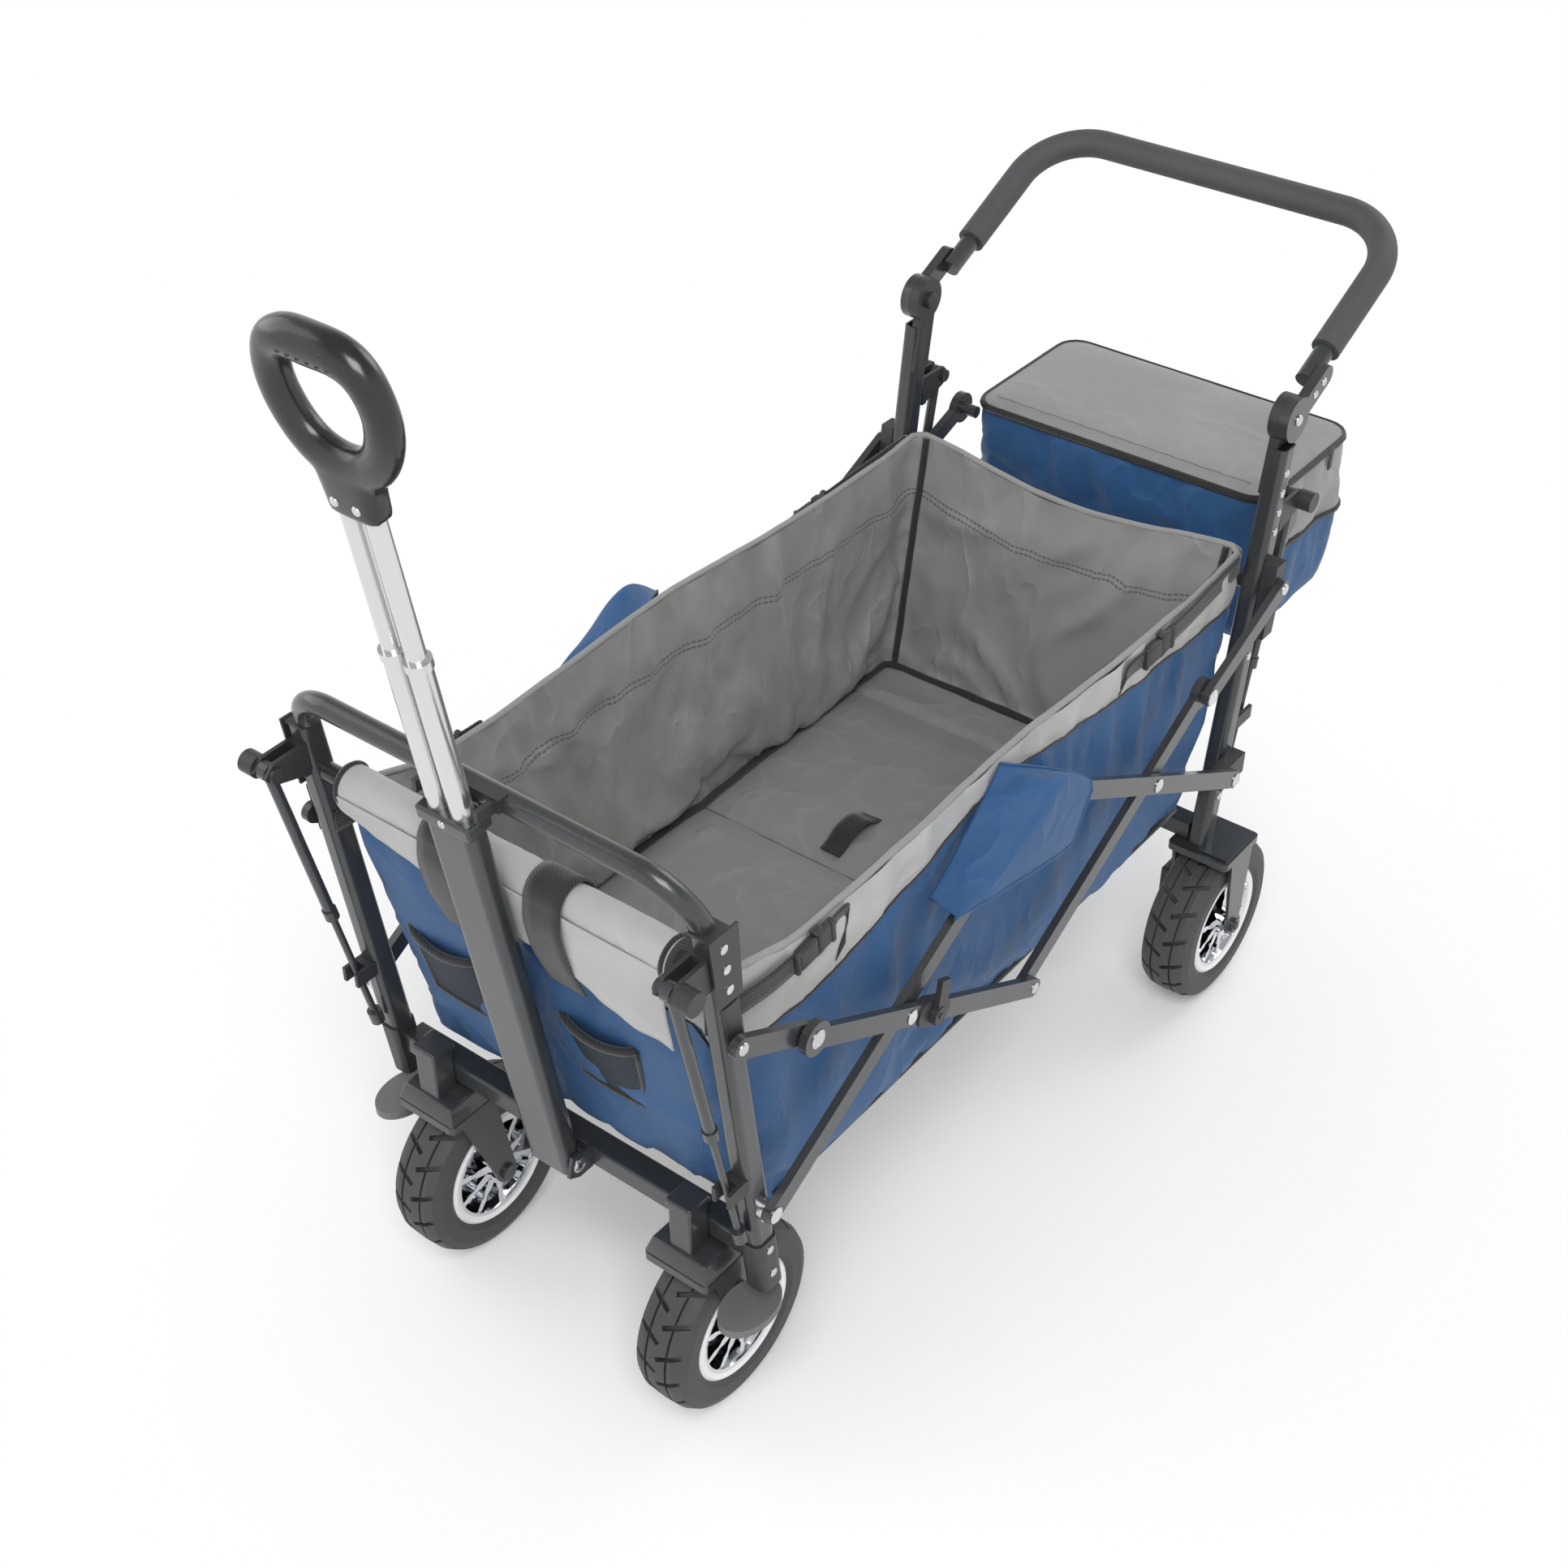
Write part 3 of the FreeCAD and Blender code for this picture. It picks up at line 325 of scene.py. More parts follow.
BY_SLOT = {"frame_paint": PAINT, "silver_rivets": STEEL, "polished_tube": POLISHED, "black_plastic": PLASTIC,
           "black_gloss": GRIP, "tyre_rubber": RUBBER, "foam_grip": FOAM, "grey_cloth": PALE_CLOTH,
           "blue_cloth": BLUE_CLOTH, "black_webbing": WEBBING}
for part in frame["record"]["subparts"]:
    name, slot_name = part["node"], part["material_slot"]
    if slot_name == "chrome_rim":
        low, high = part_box(name)
        centre = tuple((a + b) / 2 for a, b in zip(low, high))
        paint(rim_finish("chrome_" + name, centre), name)
    else:
        paint(BY_SLOT[slot_name], name)
paint(PEDAL, "brake_pedal_left", "brake_pedal_right")
for obj in NODES.values():
    bevel = obj.modifiers.new("edges", "BEVEL")
    bevel.width = 0.0008
    bevel.segments = 2
    bevel.limit_method = "ANGLE"
    bevel.angle_limit = math.radians(40)
print("finishes:", len(bpy.data.materials))

# %% [markdown]
# ## Mesh helpers
# `sheet_of` makes a grid from a function of two numbers, `tube_of` a round cord of piping along
# points, `strap_of` a flat strap.  Every piece rides on a body of the frame.

# %% Mesh helpers
TRIM = (WEBBING, "front_frame", "black_webbing")
SIDES = ((1, "right"), (-1, "left"))
BODY_OF = {}
SLOT_OF = {}


def listed(name, mesh, body, slot_name):
    """Put a mesh in the scene and note the body it rides on and its slot."""
    obj = bpy.data.objects.new(name, mesh)
    bpy.context.scene.collection.objects.link(obj)
    BODY_OF[name] = body
    SLOT_OF[name] = slot_name
    return obj


def mesh_object(name, verts, faces, mats, body="front_frame", slot_name=None, smooth=True):
    mesh = bpy.data.meshes.new(name)
    mesh.from_pydata([tuple(v) for v in verts], [], faces)
    for mat in mats:
        mesh.materials.append(mat)
    mesh.validate()
    mesh.update()
    for p in mesh.polygons:
        p.use_smooth = smooth
    return listed(name, mesh, body, slot_name)


def sheet_of(name, nu, nv, place, mats, body, slot_name, closed=False, mat_at=None, lay=None):
    verts = [place(i / nu, j / nv) for j in range(nv + 1) for i in range(nu + (0 if closed else 1))]
    row = nu if closed else nu + 1
    faces = []
    for j in range(nv):
        for i in range(nu):
            k = (i + 1) % row
            faces.append((j * row + i, j * row + k, (j + 1) * row + k, (j + 1) * row + i))
    obj = mesh_object(name, verts, faces, mats, body, slot_name)
    uv = obj.data.uv_layers.new(name="lay")
    for p in obj.data.polygons:
        f = p.index
        i, j = f % nu, f // nu
        corners = [(i, j), (i + 1, j), (i + 1, j + 1), (i, j + 1)]
        for loop, (a, b) in zip(p.loop_indices, corners):
            uv.data[loop].uv = lay(a / nu, b / nv) if lay else (a / nu, b / nv)
        if mat_at:
            p.material_index = mat_at((i + 0.5) / nu, (j + 0.5) / nv)
    return obj


def modifier(obj, kind, **values):
    m = obj.modifiers.new(kind.lower(), kind)
    for key, value in values.items():
        setattr(m, key, value)
    return m


def apply_all(obj):
    depsgraph = bpy.context.evaluated_depsgraph_get()
    mesh = bpy.data.meshes.new_from_object(obj.evaluated_get(depsgraph))
    obj.modifiers.clear()
    old = obj.data
    obj.data = mesh
    bpy.data.meshes.remove(old)
    for p in obj.data.polygons:
        p.use_smooth = True
    return obj


def between(p, t):
    """The point at share t from p[1] to p[2] on a smooth curve through four points."""
    a = 2 * p[1] + (p[2] - p[0]) * t + (2 * p[0] - 5 * p[1] + 4 * p[2] - p[3]) * t * t
    return (a + (3 * p[1] - p[0] - 3 * p[2] + p[3]) * t ** 3) / 2


def smooth_path(points, closed=False, steps=8):
    """Points of a soft curve through the given ones."""
    pts = [Vector(p) for p in points]
    n = len(pts)
    out = []
    spans = n if closed else n - 1
    for i in range(spans):
        p = [pts[(i + k) % n] if closed else pts[max(0, min(n - 1, i + k))] for k in (-1, 0, 1, 2)]
        out += [between(p, s / steps) for s in range(steps)]
    if not closed:
        out.append(pts[-1])
    return out


def ring_faces(rings, sides, closed=False):
    """The faces between rings of points, each with the same number of sides."""
    faces = []
    for i in range(rings if closed else rings - 1):
        for k in range(sides):
            a, b = i * sides, ((i + 1) % rings) * sides
            faces.append((a + k, a + (k + 1) % sides, b + (k + 1) % sides, b + k))
    return faces


def tube_of(name, points, radius, mat, body, slot_name, closed=False, sides=8, soft=True):
    pts = smooth_path(points, closed) if soft else [Vector(p) for p in points]
    n = len(pts)
    verts = []
    normal = None
    for i, p in enumerate(pts):
        a = pts[i - 1] if (i or closed) else p
        b = pts[(i + 1) % n] if (i < n - 1 or closed) else p
        d = (b - a).normalized()
        if normal is None:
            normal = d.orthogonal().normalized()
        normal = (normal - d * normal.dot(d)).normalized()
        side = d.cross(normal)
        for k in range(sides):
            t = 2 * math.pi * k / sides
            verts.append(p + (normal * math.cos(t) + side * math.sin(t)) * radius)
    faces = ring_faces(n, sides, closed)
    if not closed:
        faces.append(tuple(range(sides))[::-1])
        faces.append(tuple((n - 1) * sides + k for k in range(sides)))
    return mesh_object(name, verts, faces, [mat], body, slot_name)


def strap_of(name, points, width, wide, mat=None, body="front_frame", thick=0.0016, soft=True,
             slot_name="black_webbing"):
    """A flat strap along points; wide is the direction of its width, or a function of the share along it."""
    pts = smooth_path(points, False, 6) if soft else [Vector(p) for p in points]
    verts, faces = [], []
    for i, p in enumerate(pts):
        w = wide(i / (len(pts) - 1)) if callable(wide) else Vector(wide)
        for s in (-0.5, -0.25, 0, 0.25, 0.5):
            verts.append(p + w.normalized() * width * s)
    for i in range(len(pts) - 1):
        for k in range(4):
            faces.append((i * 5 + k, i * 5 + k + 1, i * 5 + k + 6, i * 5 + k + 5))
    obj = mesh_object(name, verts, faces, [mat or WEBBING], body, slot_name)
    modifier(obj, "SOLIDIFY", thickness=thick, offset=0)
    return apply_all(obj)


def block_of(name, low, high, mat, body, slot_name, round_by=0.002, segments=3):
    bm = bmesh.new()
    bmesh.ops.create_cube(bm, size=1)
    size = Vector(high) - Vector(low)
    for v in bm.verts:
        v.co = Vector(low) + Vector([(c + 0.5) * length for c, length in zip(v.co, size)])
    bmesh.ops.bevel(bm, geom=bm.edges[:], offset=round_by, segments=segments, affect="EDGES", profile=0.5)
    mesh = bpy.data.meshes.new(name)
    bm.to_mesh(mesh)
    bm.free()
    mesh.materials.append(mat)
    for p in mesh.polygons:
        p.use_smooth = True
    return listed(name, mesh, body, slot_name)


def mirrored(obj, name):
    mesh = obj.data.copy()
    for v in mesh.vertices:
        v.co.x = -v.co.x
    mesh.flip_normals()
    return listed(name, mesh, BODY_OF[obj.name], SLOT_OF[obj.name])


def joined(name, objs):
    bm = bmesh.new()
    mats = []
    for o in objs:
        start = len(bm.faces)
        bm.from_mesh(o.data)
        bm.faces.ensure_lookup_table()
        for f in bm.faces[start:]:
            mat = o.data.materials[f.material_index] if o.data.materials else None
            if mat not in mats:
                mats.append(mat)
            f.material_index = mats.index(mat)
    mesh = bpy.data.meshes.new(name)
    bm.to_mesh(mesh)
    bm.free()
    for mat in mats:
        mesh.materials.append(mat)
    obj = listed(name, mesh, BODY_OF[objs[0].name], SLOT_OF[objs[0].name])
    for o in objs:
        bpy.data.objects.remove(o)
    return obj


# %% [markdown]
# ## Letting cloth fall
# A panel is cut a little larger than its frame, its hems are held, and Blender's cloth solver lets the
# spare length buckle into folds.  Each point may then leave its start by a set amount each way, so a
# lining folds inwards and a cover folds outwards.

# %% Cloth solver
def drape(obj, held, slack, inward, outward, normal_at, frames=22, stiff=6.0, gravity=0.6):
    """Let a panel fall; held are its fixed points, slack its spare cloth, inward and outward its limits."""
    start = [v.co.copy() for v in obj.data.vertices]
    group = obj.vertex_groups.new(name="held")
    for i in held:
        group.add([i], 1.0, "REPLACE")
    for i, v in enumerate(obj.data.vertices):
        lump = noise.noise(v.co * 14.0) + 0.6 * noise.noise(v.co * 31.0)
        v.co += normal_at(i) * lump * 0.003
    m = obj.modifiers.new("fall", "CLOTH")
    s = m.settings
    s.quality = 5
    s.mass = 0.15
    s.tension_stiffness = s.compression_stiffness = 12
    s.shear_stiffness = 4
    s.bending_stiffness = stiff
    s.air_damping = 4
    s.vertex_group_mass = "held"
    s.shrink_min = -slack
    s.effector_weights.gravity = gravity
    m.collision_settings.use_collision = False
    m.point_cache.frame_start = 1
    m.point_cache.frame_end = frames
    scene = bpy.context.scene
    for f in range(1, frames + 1):
        scene.frame_set(f)
    deps = bpy.context.evaluated_depsgraph_get()
    result = obj.evaluated_get(deps).to_mesh()
    moved = [v.co.copy() for v in result.vertices]
    obj.evaluated_get(deps).to_mesh_clear()
    obj.modifiers.remove(m)
    scene.frame_set(1)
    for i, v in enumerate(obj.data.vertices):
        go = moved[i] - start[i]
        n = normal_at(i)
        depth = go.dot(n)
        soft = outward * math.tanh(depth / outward) if depth > 0 else inward * math.tanh(depth / inward)
        along = (go - n * depth)
        if along.length > 0.01:
            along *= 0.01 / along.length
        v.co = start[i] + along + n * soft
    obj.data.update()
    return obj


# %% [markdown]
# ## The tub
# The lining and the cover are two closed bands around the same plan: a rectangle with small round
# corners that grows from the floor to the rim.  The rim is held at the posts and at the middle of each
# side, and sags between.

# %% Tub plan
FOOT = (205.0, 18.0, 776.0)
RIM = (212.0, -44.0, 838.0)
FLOOR_Z = 284.0
HEM_Z = 266.0
CORNER_R = 16.0


def around(u, hx, y0, y1, r, wide, long):
    """A point and outward direction at share u round a rounded rectangle, from its front middle to the
    right.  wide and long are the straight runs that set how the shares are spread."""
    arc = math.pi * r / 2
    shares = [wide / 2, arc, long, arc, wide, arc, long, arc, wide / 2]
    s = (u % 1.0) * sum(shares)
    for k, part in enumerate(shares):
        if s <= part or k == 8:
            t = min(1.0, s / part)
            break
        s -= part
    mx, ya, yb = hx - r, y0 + r, y1 - r
    if k % 2:
        turn = (t + k // 2 - 1) * math.pi / 2
        n = Vector((math.cos(turn), math.sin(turn)))
        return Vector(((mx, ya), (mx, yb), (-mx, yb), (-mx, ya))[k // 2]) + n * r, n
    start, end, n = (((0, y0), (mx, y0), (0, -1)), ((hx, ya), (hx, yb), (1, 0)), ((mx, y1), (-mx, y1), (0, 1)),
                     ((-hx, yb), (-hx, ya), (-1, 0)), ((-mx, y0), (0, y0), (0, -1)))[k // 2]
    return Vector(start).lerp(Vector(end), t), Vector(n)


def plan(u, grow, inset):
    """A point round the plan at share u, starting at the front middle and going to the right."""
    hx = FOOT[0] + (RIM[0] - FOOT[0]) * grow - inset
    y0 = FOOT[1] + (RIM[1] - FOOT[1]) * grow + inset
    y1 = FOOT[2] + (RIM[2] - FOOT[2]) * grow - inset
    return around(u, hx, y0, y1, CORNER_R, 384.0, 788.0)


def rim_height(x, y):
    """The rim's height: held at the front roll, at mid length and at the rear posts."""
    t = max(0.0, min(1.0, (y + 44.0) / 882.0))
    side = 594 - 34 * min(1, t / 0.12) + 12 * math.exp(-((t - 0.49) / 0.16) ** 2)
    if t > 0.86:
        side += 10 * ((t - 0.86) / 0.14) ** 2
    mid = math.cos(math.pi * x / 420)
    if y > 830:
        side -= 22 * max(0.0, mid) ** 1.5
    return side + 2.2 * noise.noise(Vector((x * 0.02, y * 0.017, 3.1)))


def tub_point(u, v, inset, foot):
    p, n = plan(u, 1.0, inset)
    top = rim_height(p.x, p.y)
    z = foot + (top - foot) * v
    grow = (z - 264.0) / 298.0
    q, n = plan(u, grow, inset)
    return at(q.x, q.y, z), Vector((n.x, n.y, 0))


# %% [markdown]
# The lining is the grey inside of the tub.  Its large folds come from the cloth solver; sharper creases are
# worked out first from noise, so that they run downward and fade where the cloth is held.

# %% Lining
NU, NV = 300, 34
CORNERS = (0.0815, 0.4185, 0.5815, 0.9185)


def creases(u, v, seed):
    """Soft folds that run mostly downward, fading at the held edges and corners, in mm."""
    a, z = math.sin(2 * math.pi * u) * 400, v * 300
    b = math.cos(2 * math.pi * u) * 400
    warp = 1.3 * noise.noise(Vector((a * 0.005, b * 0.005, v * 1.6 + seed)))
    total = 0.0
    for fine, size in ((0.0085, 9.0), (0.019, 4.2), (0.045, 1.4)):
        n = noise.noise(Vector((a * fine + warp, b * fine - warp, z * fine * 0.3 + seed)))
        total += size * max(0.0, 1 - 2.2 * abs(n)) ** 1.6
    edge = min(1.0, 7 * v * (1 - v) + 0.05)
    near = min(abs(u - c) for c in CORNERS)
    for peak in (0.245, 0.755):
        # two shallow darts run down from the raised middle of each side
        for lean in (-1, 1):
            off = abs((u - peak) - lean * 0.075 * (1 - v) - lean * 0.004) / 0.006
            if v > 0.2:
                total += 4.0 * math.exp(-off * off) * min(1.0, (v - 0.2) * 4)
    return total * edge * min(1.0, near / 0.02)


def lining_point(u, v):
    p, n = tub_point(u, v, 7.0, FLOOR_Z + 8)
    return p - n * creases(u, v, 2.0) * 0.001


lining = sheet_of("tub_lining", NU, NV, lining_point, [INSIDE], "front_frame", "grey_cloth", closed=True,
                  lay=lambda u, v: (u * 2.47, (1 - v) * 0.28))
inward_normals = [-tub_point((i % NU) / NU, (i // NU) / NV, 7.0, FLOOR_Z + 8)[1] for i in range(NU * (NV + 1))]


def rows_held(rows, columns=()):
    held = set()
    for j in rows:
        held.update(range(j * NU, (j + 1) * NU))
    for c in columns:
        held.update(j * NU + c % NU for j in range(NV + 1))
    return held


corner_columns = [round(c * NU) for c in CORNERS]
drape(lining, rows_held((0, NV), corner_columns), 0.045, 0.004, 0.016, lambda i: inward_normals[i], 20, 3.0)
print("lining:", len(lining.data.vertices), "points")

# %% [markdown]
# Outside, blue panels meet a pale band that is deep in front and narrow at mid length.  One sheet with two
# materials keeps them joined; a row of its grid follows the edge of the band, so the border is clean.

# %% Cover: blue panels with a pale band along the rim
BAND_ROW = 26  # the rows of the cover below this one are blue, the others pale


def band_depth(x, y):
    """How far the pale band reaches down from the rim."""
    t = (y + 44.0) / 882.0
    if abs(x) > 195:
        return 96 - 66 * min(1, t / 0.42) + (26 * (t - 0.5) / 0.5 if t > 0.5 else 0)
    return 41 + 0.165 * x if y < 200 else 56.0


def cover_share(u, v):
    """The height share of a row, so that one row follows the edge of the band."""
    p, n = plan(u, 1.0, 0.0)
    top = rim_height(p.x, p.y)
    depth = band_depth(p.x, p.y)
    edge = (top - depth - HEM_Z) / (top - HEM_Z)
    cut = BAND_ROW / NV
    return v / cut * edge if v < cut else edge + (v - cut) / (1 - cut) * (1 - edge)


def cover_point(u, v):
    p, n = tub_point(u, cover_share(u, v), -0.5, HEM_Z)
    return p + n * creases(u, v, 11.0) * (0.00055 if v < BAND_ROW / NV else 0.0002)


cover = sheet_of("tub_cover", NU, NV, cover_point, [BLUE_CLOTH, PALE_CLOTH], "front_frame", "blue_cloth", closed=True,
                 mat_at=lambda u, v: 0 if v < BAND_ROW / NV else 1, lay=lambda u, v: (u * 2.47, (1 - v) * 0.3))
outward_normals = [-n for n in inward_normals]
drape(cover, rows_held((0, BAND_ROW, NV), corner_columns), 0.03, 0.002, 0.009,
      lambda i: outward_normals[i], 16, 5.0)
trim_line = [cover.data.vertices[BAND_ROW * NU + i].co + outward_normals[i] * 0.0008 for i in range(NU)]
tube_of("band_piping", trim_line[::2], 0.0013, *TRIM, True, 6, soft=False)

# %% [markdown]
# Black piping covers the sewn edges.  Its points are read from the solved cloth, because a path drawn by hand
# would float off the folds.

# %% Rim hem, corner piping and floor piping
hem_points = []
for i in range(0, NU, 2):
    a = lining.data.vertices[NV * NU + i].co
    b = cover.data.vertices[NV * NU + i].co
    hem_points.append((a + b) / 2)
tube_of("rim_hem", hem_points, 0.0036, INSIDE, "front_frame", "grey_cloth", True, 10, soft=False)
for k, c in enumerate(corner_columns):
    line = [lining.data.vertices[j * NU + c].co + inward_normals[c] * 0.0015 for j in range(0, NV + 1, 2)]
    tube_of("corner_piping_%d" % k, line, 0.0042, *TRIM, False, 8)
foot_line = []
for i in range(0, NU, 2):
    v = lining.data.vertices[i].co
    foot_line.append(v + inward_normals[i] * 0.003)
tube_of("floor_piping", foot_line, 0.0045, *TRIM, True, 8, soft=False)
for s, side in SIDES:
    pts = [at(s * 206.5, y, HEM_Z + 2) for y in range(40, 770, 40)]
    tube_of("hem_binding_" + side, pts, 0.0035, *TRIM, False, 8, soft=False)
print("tub cover, hem and piping made")


# %% [markdown]
# ## The floor
# Four padded panels with sewn seams between them; a webbing loop lifts the panels.

# %% Floor panels
SEAMS = (147, 427, 707)


def floor_point(u, v):
    x = -196 + 392 * u
    y = 20 + 752 * v
    bounds = (20, *SEAMS, 772)
    for a, b in zip(bounds, bounds[1:]):
        if a <= y <= b:
            s = (y - a) / (b - a)
            puff = min(1, 9 * s * (1 - s)) ** 0.6
            edge = min(1, 12 * u * (1 - u)) ** 0.5
            z = 282.6 + 11.0 * puff * (0.3 + 0.7 * edge)
    z += 2.2 * noise.noise(Vector((x * 0.012, y * 0.012, 0.3))) + 0.9 * noise.noise(Vector((x * 0.05, y * 0.03, 5)))
    return at(x, y, z)


sheet_of("floor_panels", 90, 190, floor_point, [FLOOR], "front_frame", "grey_cloth")
for k, y in enumerate(SEAMS):
    line = [at(x, y, 285.5 + 1.5 * noise.noise(Vector((x * 0.02, y, 1)))) for x in range(-194, 195, 12)]
    tube_of("floor_seam_%d" % k, line, 0.0013, FLOOR, "front_frame", "grey_cloth", False, 6, soft=False)
loop = ((440, 292.5), (452, 296), (470, 305), (492, 306), (508, 297), (520, 292.5))
strap_of("floor_loop", [at(-32, y, z) for y, z in loop], 0.026, (1, 0, 0))


# %% [markdown]
# ## Front of the tub
# A padded roll is held between the posts by two wide straps; its skirt hangs over the blue front panel.

# %% Roll, skirt and straps
ROLL = (-57.0, 613.0)  # y and z of its middle
STRAPS = (-62.0, 60.0)  # x of the two straps


def roll_point(u, v):
    x = -189 + 378 * u
    a = 2 * math.pi * v
    pinch = 1.0
    for cx in STRAPS:
        pinch -= 0.05 * math.exp(-((x - cx) / 26.0) ** 2)
    r = 18.8 * pinch + 1.2 * noise.noise(Vector((x * 0.03, math.cos(a), math.sin(a)))) \
        + 0.5 * noise.noise(Vector((x * 0.09, math.cos(a) * 2, math.sin(a) * 2 + 4)))
    return at(x, ROLL[0] - r * math.sin(a), ROLL[1] + r * math.cos(a))


sheet_of("front_roll", 90, 28, roll_point, [PALE_CLOTH], "front_frame", "grey_cloth")
for s, side in SIDES:
    pts = [at(s * 189, ROLL[0] - 19.4 * math.sin(a), ROLL[1] + 19.4 * math.cos(a))
           for a in [2 * math.pi * k / 32 for k in range(32)]]
    band = [p + Vector((s * -0.004, 0, 0)) for p in pts]
    tube_of("roll_end_band_" + side, band, 0.0024, *TRIM, True, 8, False)
    mesh_object("roll_end_cap_" + side, pts, [tuple(range(32)) if s > 0 else tuple(range(32))[::-1]], [WEBBING],
                "front_frame", "black_webbing", False)


def skirt_point(u, v):
    x = -187 + 374 * u
    y = -76.5 + 9 * v ** 1.4
    wave = 4.0 * v * noise.noise(Vector((x * 0.02, v * 1.2, 2.0)))
    wave += 1.6 * v * noise.noise(Vector((x * 0.05, v * 2, 7)))
    z = 612 - (612 - (551 - 0.165 * x + 4 * math.sin(x * 0.03))) * v
    tight = 3.0 * math.exp(-((x - 60) / 30) ** 2) + 3.0 * math.exp(-((x + 62) / 30) ** 2)
    return at(x, y - wave + tight * v, z)


skirt = sheet_of("front_skirt", 90, 26, skirt_point, [PALE_CLOTH], "front_frame", "grey_cloth")
modifier(skirt, "SOLIDIFY", thickness=0.0012, offset=-1)
apply_all(skirt)
for k, cx in enumerate(STRAPS):
    r = 21.6
    arc = [at(cx, ROLL[0] - r * math.sin(math.radians(t)), ROLL[1] + r * math.cos(math.radians(t)))
           for t in range(-120, 100, 15)]
    tail = [at(cx, -80.5, 595), at(cx, -77, 572), at(cx, -71, 550), at(cx - 1, -60, 524), at(cx - 2, -52, 506)]
    strap_of("front_strap_%d" % k, arc + tail, 0.041, (1, 0, 0), thick=0.002)


# %% [markdown]
# Two small mesh pockets sit low on the front.  Real holes would need very many faces, so the netting is a
# cell pattern, and only the bound edges are cords.

# %% Mesh pockets with bound edges
def mesh_cloth():
    mat, tree, shader = new_material("black_mesh", (0.01, 0.012, 0.016), 0.7)
    co = tree.nodes.new("ShaderNodeTexCoord")
    vor = node(tree, "ShaderNodeTexVoronoi", Scale=330.0, feature="DISTANCE_TO_EDGE")
    tree.links.new(co.outputs["Object"], vor.inputs["Vector"])
    hole = math_node(tree, "GREATER_THAN", vor.outputs["Distance"], 0.16)
    tree.links.new(mix(tree, hole, (0.012, 0.013, 0.015), (0.012, 0.035, 0.075)), shader.inputs["Base Color"])
    bump = node(tree, "ShaderNodeBump", Strength=0.6, Distance=0.0008)
    tree.links.new(vor.outputs["Distance"], bump.inputs["Height"])
    tree.links.new(bump.outputs["Normal"], shader.inputs["Normal"])
    return mat


MESH = mesh_cloth()
for k, cx in enumerate((-118.0, 68.0)):
    def pocket(u, v, cx=cx):
        x = cx + (u - 0.5) * (76 + 12 * v)
        z = 362 + 84 * v - 7 * math.sin(math.pi * u) * v
        front = 18 - 0.208 * (z - 264)
        puff = (math.sin(math.pi * u) ** 0.6) * (3 + 9 * v)
        return at(x, front - 11 - puff, z)
    sheet_of("mesh_pocket_%d" % k, 24, 14, pocket, [MESH], "front_frame", "black_webbing")
    tube_of("pocket_binding_%d" % k, [pocket(i / 12, 1.0) for i in range(13)], 0.0042, *TRIM, False, 8)
    edge = [pocket(0, 1 - i / 6) for i in range(7)] + [pocket(i / 10, 0) for i in range(1, 10)] \
        + [pocket(1, i / 6) for i in range(7)]
    tube_of("pocket_edge_%d" % k, edge, 0.0028, *TRIM, False, 6, False)
print("front roll, straps and pockets made")


# %% [markdown]
# ## Side flaps, buckles and straps
# A blue flap covers the middle joint of each side.  It is drawn through three curves, on the rim, over the bars
# and along the free edge, because its stiff shape comes from sewing more than from falling.

# %% Flap over the middle joint of each side
SEWN = [(214, 368, 567), (217.5, 337, 549), (221, 305, 531), (224, 272, 512), (228, 240, 499)]
OUTER = [(267, 446, 525), (267.5, 396, 558), (267, 334, 533), (266, 284, 510), (260, 238, 495)]
LOWER = [(268, 424, 464), (270.5, 372, 474), (270.5, 318, 486), (268, 272, 493), (259, 235, 492)]


def curve_at(points, t):
    """A smooth curve through the points, t from 0 to 1."""
    t = min(t, 0.9999) * (len(points) - 1)
    i = int(t)
    f = t - i
    p = [Vector(points[max(0, min(len(points) - 1, i + k))]) for k in (-1, 0, 1, 2)]
    return between(p, f)


def flap_point(u, v):
    # v runs from the seam on the rim, over the bars, down to the free edge
    a, b, c = curve_at(SEWN, u), curve_at(OUTER, u), curve_at(LOWER, u)
    over = a.lerp(b, 0.55) + Vector((0, 0, 5 * (1 - u)))
    p = curve_at([a, over, b, b.lerp(c, 0.5) + Vector((1.5, 0, 0)), c], v)
    wave = 1.8 * noise.noise(Vector((p.y * 0.018, v * 2.5, 1))) + 0.8 * noise.noise(Vector((p.y * 0.05, v * 5, 4)))
    return at(p.x + wave * min(1, 4 * v), p.y, p.z)


flap = sheet_of("side_flap_right", 30, 24, flap_point, [BLUE_CLOTH], "front_frame", "blue_cloth")
modifier(flap, "SOLIDIFY", thickness=0.0016, offset=-1)
apply_all(flap)
rim_of_flap = [flap_point(0, i / 12) for i in range(13)] + [flap_point(i / 16, 1) for i in range(1, 17)] \
    + [flap_point(1, 1 - i / 6) for i in range(1, 7)]
flap_pipe = tube_of("flap_piping_right", rim_of_flap, 0.0015, BLUE_CLOTH, "front_frame", "blue_cloth",
                    False, 6, False)
mirrored(flap, "side_flap_left")
mirrored(flap_pipe, "flap_piping_left")


# %% [markdown]
# Four side-release buckles hold short straps along the rim.  Rounded blocks are enough at this size; the left
# ones are mirrored from the right.

